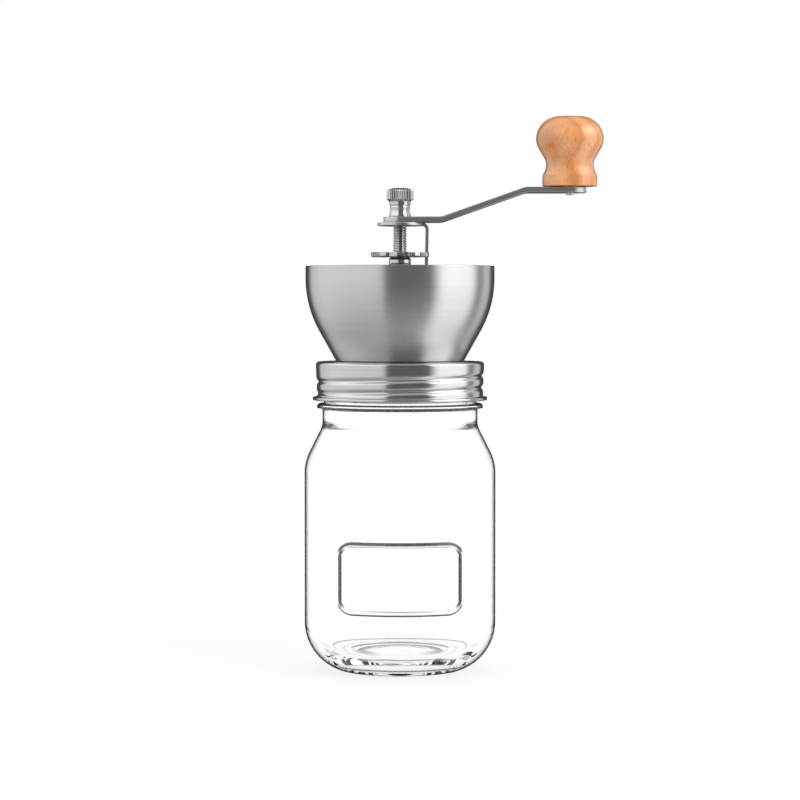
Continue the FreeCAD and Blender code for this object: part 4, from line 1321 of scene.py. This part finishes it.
@dataclass
class Knob:
    """Turned wooden knob, its flush plug, the washer under it and its riveted axle."""

    axis: float = 74.5
    seat_height: float = 211.9
    washer: float = 0.25
    washer_radius: float = 5.0
    washer_edge: float = 0.08
    bottom: float = 212.25
    height: float = 30.65
    bulb: float = 14.85
    bulb_rounding: float = 10.0
    bulb_foot: float = 18.7
    bulb_foot_rounding: float = 8.0
    waist: float = 9.6
    waist_height: float = 9.6
    waist_rounding: float = 6.0
    base: float = 12.0
    base_height: float = 4.8
    base_edge: float = 0.6
    base_shoulder: float = 1.0
    # Depths are measured down from the knob's top
    hole_depth: float = 8.0
    plug: float = 4.45
    plug_depth: float = 5.6
    plug_edge: float = 0.4
    rim: float = 0.12
    fit: float = 0.05
    axle: float = 2.6
    bore: float = 2.75
    head: float = 4.2
    head_top: float = 6.1
    head_bottom: float = 7.9
    head_edge: float = 0.6
    shank: float = 1.65
    tail_bottom: float = 208.5
    tail_edge: float = 0.5

    def outline(self) -> np.ndarray:
        """The turned outline with its stepped hole, from the hole in the base to the plug's edge."""
        top = self.bottom + self.height
        return rounded(
            [
                (self.bore, self.bottom, 0.0),
                (self.base, self.bottom, self.base_edge),
                (self.base, self.bottom + self.base_height, self.base_shoulder),
                (self.waist, self.bottom + self.waist_height, self.waist_rounding),
                (self.bulb, self.bottom + self.bulb_foot, self.bulb_foot_rounding),
                (self.bulb, top, self.bulb_rounding),
                (self.plug + self.fit, top, self.rim),
                (self.plug + self.fit, top - self.hole_depth, 0.0),
                (self.bore, top - self.hole_depth, 0.0),
            ],
            turn=4.0,
        )

    def build(self) -> list[tuple[bpy.types.Object, Body, Slot, str]]:
        """Each turned piece with its body, slot and node."""
        top = self.bottom + self.height
        centre = (self.axis, 0.0)
        knob = subdivided(self.outline(), 1.5)
        plug = rounded(
            [
                (0.0, top - self.plug_depth, 0.0),
                (self.plug, top - self.plug_depth, self.plug_edge),
                (self.plug, top, self.rim),
                (0.0, top, 0.0),
            ],
            turn=20.0,
        )
        washer_top = self.seat_height + self.washer
        washer = rounded(
            [
                (self.axle + self.fit, self.seat_height, 0.0),
                (self.washer_radius, self.seat_height, self.washer_edge),
                (self.washer_radius, washer_top, self.washer_edge),
                (self.axle + self.fit, washer_top, 0.0),
            ]
        )
        axle = rounded(
            [
                (0.0, self.tail_bottom, 0.0),
                (self.shank, self.tail_bottom, self.tail_edge),
                (self.shank, self.seat_height, 0.0),
                (self.axle, self.seat_height, 0.0),
                (self.axle, top - self.head_bottom, 0.0),
                (self.head, top - self.head_bottom, 0.0),
                (self.head, top - self.head_top, self.head_edge),
                (0.0, top - self.head_top, 0.0),
            ],
            turn=15.0,
        )
        small = around(64)
        knob_skin = Patch(revolved(knob, around(144), centre=centre), rows_close=True)
        plug_skin = Patch(revolved(plug, small, centre=centre))
        washer_skin = Patch(revolved(washer, small, centre=centre), rows_close=True)
        axle_skin = Patch(revolved(axle, small, centre=centre))
        return [
            (make_piece("knob_wood", [knob_skin]), Body.KNOB, Slot.WOOD, "knob"),
            (make_piece("knob_plug_wood", [plug_skin]), Body.KNOB, Slot.WOOD, "knob_plug"),
            (make_piece("knob_washer_steel", [washer_skin]), Body.SHAFT, Slot.TURNED, "knob_washer"),
            (make_piece("knob_axle_steel", [axle_skin]), Body.SHAFT, Slot.TURNED, "knob_axle"),
        ]

    def dress(self, wood: bpy.types.Material, steel: bpy.types.Material) -> None:
        """Builds the pieces and seats them."""
        for piece, body, slot, node in self.build():
            seat(piece, wood if slot is Slot.WOOD else steel, body, slot, node)


@dataclass
class BurrSpring:
    """Round-wire compression spring over the inner burr, which gives way as the burr is raised."""

    wire: float = 0.5
    coil: float = 4.6
    turns: float = 4.25
    bottom: float = 136.7
    top: float = 150.1
    travel: float = 1.2

    def build(self) -> bpy.types.Object:
        """The wire: a circle carried along a helix.

        At angle a the middle line is (coil cos a, coil sin a, z), with z rising evenly. The circle lies
        across it, on the outward direction (cos a, sin a, 0) and the one square to that and to the helix.

        Returns:
            The spring with both wire ends closed.
        """
        a = np.linspace(0.0, FULL_TURN * self.turns, 200)[:, None]
        phase = around(16)
        slope = (self.top - self.bottom - 2.0 * self.wire) / (FULL_TURN * self.turns)
        length = math.hypot(self.coil, slope)
        out = self.coil + self.wire * np.cos(phase)
        up = self.wire * np.sin(phase) / length
        x = out * np.cos(a) + up * slope * np.sin(a)
        y = out * np.sin(a) - up * slope * np.cos(a)
        z = self.bottom + self.wire + slope * a + up * self.coil
        tube = np.stack([x, y, z], axis=-1)
        return make_piece("burr_spring_steel", [Patch(capped(tube))])

    def dress(self, steel: bpy.types.Material) -> None:
        """Builds the spring, seats it on the carrier and gives it a mesh of its own."""
        spring = self.build()
        seat(spring, steel, Body.SHAFT, Slot.TURNED, "burr_spring")
        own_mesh(spring)


@dataclass
class Mill:
    """The inner works, whose solids keep their shape: support, bushes, burrs, carrier and fasteners."""

    nylon: tuple[str, ...] = ("shaft_support", "burr_housing", "burr_carrier")
    bushes: tuple[str, ...] = ("upper_bush", "lower_bush")
    burrs: tuple[str, ...] = ("outer_burr", "inner_burr")
    steel: tuple[str, ...] = ("thrust_washer", "spring_washer", "clamp_screws", "burr_nut")
    seal: str = "jar_seal"

    def dress(self, steel: bpy.types.Material) -> None:
        """Gives each solid its finish.

        Args:
            steel: The turned steel of washers, screws and nut.
        """
        # Glass-filled nylon out of a spark-eroded mould: black with a fine matt grain.
        nylon = Grained(
            "moulded_nylon", "#232426", "#191A1B", roughness=0.52, grain=0.0006, depth=0.00004
        ).material()
        # Natural acetal, turned: ivory and faintly waxy.
        acetal = Grained(
            "natural_acetal", "#E4E0D3", "#D7D2C3", roughness=0.4, grain=0.002, depth=0.00001
        ).material()
        # Sintered alumina: off-white and matt with a gritty skin.
        alumina = Grained(
            "sintered_alumina", "#F1EEE6", "#E0DCD1", roughness=0.55, grain=0.0005, depth=0.00003
        ).material()
        # Moulded silicone: milky and soft.
        silicone = Grained(
            "moulded_silicone", "#E3E3DE", "#D6D6D0", roughness=0.5, grain=0.004, depth=0.00001
        ).material()
        for names, material in (
            (self.nylon, nylon),
            (self.bushes, acetal),
            (self.burrs, alumina),
            (self.steel, steel),
            ((self.seal,), silicone),
        ):
            for name in names:
                dress_node(name, material)


@dataclass
class Studio:
    """White sweep, studio surround, lamps and camera. Lengths are metres."""

    eye: tuple[float, float, float] = (0.0, -1.2, 0.16)
    aim: tuple[float, float, float] = (0.0, 0.0, 0.1185)
    view_width: float = 0.352
    sensor_width: float = 36.0
    floor_size: float = 6.0
    floor_drop: float = 0.0003
    floor_glow: float = 0.85
    # Brightness of what glass sees as white, of the soft boxes and of the surround for other rays
    glass_white: float = 1.12
    box_gain: float = 1.7
    plain_grey: float = 0.56
    white: tuple[float, float, float, float] = (1.0, 1.0, 1.0, 1.0)

    def camera(self) -> None:
        """A camera level with the hopper, a little above the jar, looking along +Y."""
        eye = Vector(self.eye)
        aim = Vector(self.aim)
        data = bpy.data.cameras.new("camera")
        data.sensor_width = self.sensor_width
        data.lens = self.sensor_width * (aim - eye).length / self.view_width
        data.dof.use_dof = False
        camera = bpy.data.objects.new("camera", data)
        camera.location = eye
        camera.rotation_euler = (aim - eye).to_track_quat("-Z", "Y").to_euler()
        bpy.context.scene.collection.objects.link(camera)
        bpy.context.scene.camera = camera

    def floor(self) -> None:
        """A pale floor with a soft shadow, white to the eye and through glass. Metal sees past it."""
        half = self.floor_size / 2.0
        corners = ((-half, -half), (half, -half), (half, half), (-half, half))
        mesh = bpy.data.meshes.new("floor")
        mesh.from_pydata([(x, y, -self.floor_drop) for x, y in corners], [], [(0, 1, 2, 3)])
        plane = bpy.data.objects.new("floor", mesh)
        bpy.context.scene.collection.objects.link(plane)
        material, tree, shader = new_material("matt_white_sweep")
        shader.inputs["Base Color"].default_value = linear("#F4F4F4")
        shader.inputs["Roughness"].default_value = 0.9
        shader.inputs["Specular IOR Level"].default_value = 0.0
        path = add_node(tree, "ShaderNodeLightPath").outputs
        place = add_node(tree, "ShaderNodeTexCoord").outputs["Object"]
        away = add_node(tree, "ShaderNodeVectorMath", {"operation": "LENGTH"}, {0: place}).outputs["Value"]
        glow = add_node(
            tree,
            "ShaderNodeMapRange",
            {"interpolation_type": "SMOOTHSTEP"},
            {"Value": away, "From Min": 0.1, "From Max": 0.5, "To Min": self.floor_glow, "To Max": 1.0},
        ).outputs["Result"]
        seen = add_node(
            tree,
            "ShaderNodeMath",
            {"operation": "MAXIMUM"},
            {0: path["Is Camera Ray"], 1: path["Is Transmission Ray"]},
        ).outputs[0]
        share = add_node(tree, "ShaderNodeMath", {"operation": "MULTIPLY"}, {0: seen, 1: glow}).outputs[0]
        metal = add_node(
            tree,
            "ShaderNodeMath",
            {"operation": "SUBTRACT", "use_clamp": True},
            {0: path["Is Glossy Ray"], 1: path["Is Transmission Ray"]},
        ).outputs[0]
        bright = add_node(
            tree,
            "ShaderNodeMapRange",
            inputs={"Value": path["Is Transmission Ray"], "To Min": 1.0, "To Max": self.glass_white},
        ).outputs["Result"]
        white = add_node(tree, "ShaderNodeEmission", inputs={"Color": self.white, "Strength": bright})
        clear = add_node(tree, "ShaderNodeBsdfTransparent")
        mix = add_node(
            tree,
            "ShaderNodeMixShader",
            inputs={0: share, 1: shader.outputs["BSDF"], 2: white.outputs["Emission"]},
        )
        mix = add_node(
            tree,
            "ShaderNodeMixShader",
            inputs={0: metal, 1: mix.outputs["Shader"], 2: clear.outputs["BSDF"]},
        )
        tree.links.new(mix.outputs["Shader"], tree.nodes["Material Output"].inputs["Surface"])
        mesh.materials.append(material)

    def surround(self) -> None:
        """White to the eye. Metal sees soft boxes and dark gaps, glass white panels with dark slits."""
        world = bpy.data.worlds.new("studio")
        world.use_nodes = True
        world.cycles.sampling_method = "NONE"
        bpy.context.scene.world = world
        tree = world.node_tree
        way = add_node(tree, "ShaderNodeTexCoord").outputs["Generated"]
        axes = add_node(tree, "ShaderNodeSeparateXYZ", inputs={0: way}).outputs
        bearing = add_node(
            tree,
            "ShaderNodeMath",
            {"operation": "ARCTAN2"},
            {0: axes["X"], 1: axes["Y"]},
        ).outputs[0]
        turn = add_node(
            tree,
            "ShaderNodeMapRange",
            inputs={"Value": bearing, "From Min": -math.pi, "From Max": math.pi},
        ).outputs["Result"]
        level, low, high = (
            set_ramp(add_node(tree, "ShaderNodeValToRGB", inputs={"Fac": turn}), self.box_stops(row))
            for row in (1, 2, 3)
        )
        boxes = level
        for other, start, end in ((low, -0.1, -0.85), (high, 0.2, 0.4), ((0.4, 0.4, 0.4, 1.0), 0.65, 0.85)):
            share = add_node(
                tree,
                "ShaderNodeMapRange",
                {"interpolation_type": "SMOOTHSTEP"},
                {"Value": axes["Z"], "From Min": start, "From Max": end},
            ).outputs["Result"]
            boxes = add_node(
                tree,
                "ShaderNodeMix",
                {"data_type": "RGBA"},
                {"Factor": share, MIX_A: boxes, MIX_B: other},
            ).outputs[MIXED]
        boxes = add_node(
            tree,
            "ShaderNodeVectorMath",
            {"operation": "SCALE"},
            {0: boxes, "Scale": self.box_gain},
        ).outputs[0]
        # Glass: a grey slit stands at each side, where cos(2 * bearing) is near -1, and a dark one runs all
        # round between the panels and the ceiling. What it mirrors at least once is white.
        wave = add_node(tree, "ShaderNodeMath", {"operation": "MULTIPLY"}, {0: bearing, 1: 2.0}).outputs[0]
        wave = add_node(tree, "ShaderNodeMath", {"operation": "COSINE"}, {0: wave}).outputs[0]
        panels = add_node(
            tree,
            "ShaderNodeMapRange",
            {"interpolation_type": "SMOOTHSTEP"},
            {"Value": wave, "From Min": -0.95, "From Max": -0.75, "To Min": 0.5, "To Max": self.glass_white},
        ).outputs["Result"]
        overhead = add_node(
            tree,
            "ShaderNodeMapRange",
            {"interpolation_type": "SMOOTHSTEP"},
            {"Value": axes["Z"], "From Min": 0.12, "From Max": 0.3, "To Min": 1.0, "To Max": 0.1},
        ).outputs["Result"]
        ceiling = add_node(
            tree,
            "ShaderNodeMapRange",
            {"interpolation_type": "SMOOTHSTEP"},
            {"Value": axes["Z"], "From Min": 0.34, "From Max": 0.5},
        ).outputs["Result"]
        path = add_node(tree, "ShaderNodeLightPath").outputs
        mirrored = add_node(
            tree,
            "ShaderNodeMath",
            {"operation": "MINIMUM"},
            {0: path["Glossy Depth"], 1: 1.0},
        ).outputs[0]
        for operation, other in (("MULTIPLY", overhead), ("MAXIMUM", ceiling), ("MAXIMUM", mirrored)):
            panels = add_node(
                tree,
                "ShaderNodeMath",
                {"operation": operation},
                {0: panels, 1: other},
            ).outputs[0]
        colour = (self.plain_grey, self.plain_grey, self.plain_grey, 1.0)
        for ray, other in (
            ("Is Glossy Ray", boxes),
            ("Is Transmission Ray", panels),
            ("Is Camera Ray", self.white),
        ):
            colour = add_node(
                tree,
                "ShaderNodeMix",
                {"data_type": "RGBA"},
                {"Factor": path[ray], MIX_A: colour, MIX_B: other},
            ).outputs[MIXED]
        tree.links.new(colour, tree.nodes["Background"].inputs["Color"])

    def box_stops(self, row: int) -> list[tuple[float, tuple[float, ...]]]:
        """Brightness of the surround that metal sees, by bearing from -Y round by -X, +Y and +X.

        Args:
            row: 1 for what stands level with the metal, 2 for what lies below it, 3 for what hangs above it.

        Returns:
            Stops of a colour ramp over a full turn.
        """
        table = (
            (-180.0, 0.09, 0.3, 0.12),
            (-163.0, 0.09, 0.32, 0.12),
            (-157.0, 0.6, 0.36, 0.9),
            (-70.0, 0.66, 0.3, 0.95),
            (-42.0, 0.5, 0.25, 0.7),
            (-33.0, 0.04, 0.04, 0.04),
            (33.0, 0.04, 0.04, 0.04),
            (42.0, 0.5, 0.4, 0.5),
            (54.0, 0.5, 0.4, 0.5),
            (62.0, 0.2, 0.2, 0.5),
            (70.0, 0.25, 0.25, 1.0),
            (80.0, 0.95, 0.7, 2.0),
            (126.0, 0.95, 0.8, 2.0),
            (140.0, 0.09, 0.34, 0.12),
            (180.0, 0.09, 0.3, 0.12),
        )
        return [((stop[0] + 180.0) / 360.0, (stop[row], stop[row], stop[row], 1.0)) for stop in table]

    def lamps(self) -> None:
        """A large soft key from the right, a fill from the left and a soft top light."""
        for name, spot, size, power in (
            ("key_lamp", (0.9, -0.9, 0.9), 0.8, 11.0),
            ("fill_lamp", (-1.1, -0.7, 0.6), 0.9, 3.0),
            ("top_lamp", (0.0, 0.3, 1.4), 1.0, 7.0),
        ):
            data = bpy.data.lights.new(name, "AREA")
            data.size = size
            data.energy = power
            lamp = bpy.data.objects.new(name, data)
            lamp.location = spot
            lamp.rotation_euler = (Vector(self.aim) - Vector(spot)).to_track_quat("-Z", "Y").to_euler()
            lamp.visible_glossy = False
            lamp.visible_transmission = False
            bpy.context.scene.collection.objects.link(lamp)

    def build(self) -> None:
        """Sets up the whole studio."""
        bpy.context.scene.view_settings.view_transform = "Standard"
        # Light turns many times inside a thick glass heel before it gets out.
        bpy.context.scene.cycles.max_bounces = 32
        bpy.context.scene.cycles.glossy_bounces = 24
        bpy.context.scene.cycles.transmission_bounces = 24
        self.floor()
        self.surround()
        self.lamps()
        self.camera()


def main() -> None:
    """Builds and dresses every sub-assembly, then the studio."""
    logging.basicConfig(level=logging.INFO, format="%(name)s: %(message)s")
    round_steel = BrushedStainless("brushed_stainless_steel", Brushing.ROUND).material()
    band_steel = BrushedStainless(
        "rolled_stainless_band", Brushing.ROUND, roughness=0.2, anisotropy=0.7
    ).material()
    flat_steel = BrushedStainless(
        "ground_stainless_bar", Brushing.LENGTHWISE, roughness=0.34, anisotropy=0.0
    ).material()
    turned_steel = BrushedStainless(
        "turned_bright_steel", Brushing.TURNED, roughness=0.14, roughness_spread=0.03, anisotropy=0.0
    ).material()
    wood = LacqueredBeech().material()
    Jar().dress()
    ScrewBand().dress(band_steel)
    Hopper().dress(round_steel)
    AdjustingNut().dress(turned_steel)
    DriveShaft().dress(turned_steel)
    LockPlate().dress(flat_steel)
    CrankArm().dress(flat_steel)
    ThumbNut().dress(turned_steel)
    Knob().dress(wood, turned_steel)
    BurrSpring().dress(turned_steel)
    Mill().dress(turned_steel)
    Studio().build()


if __name__ == "__main__":
    main()
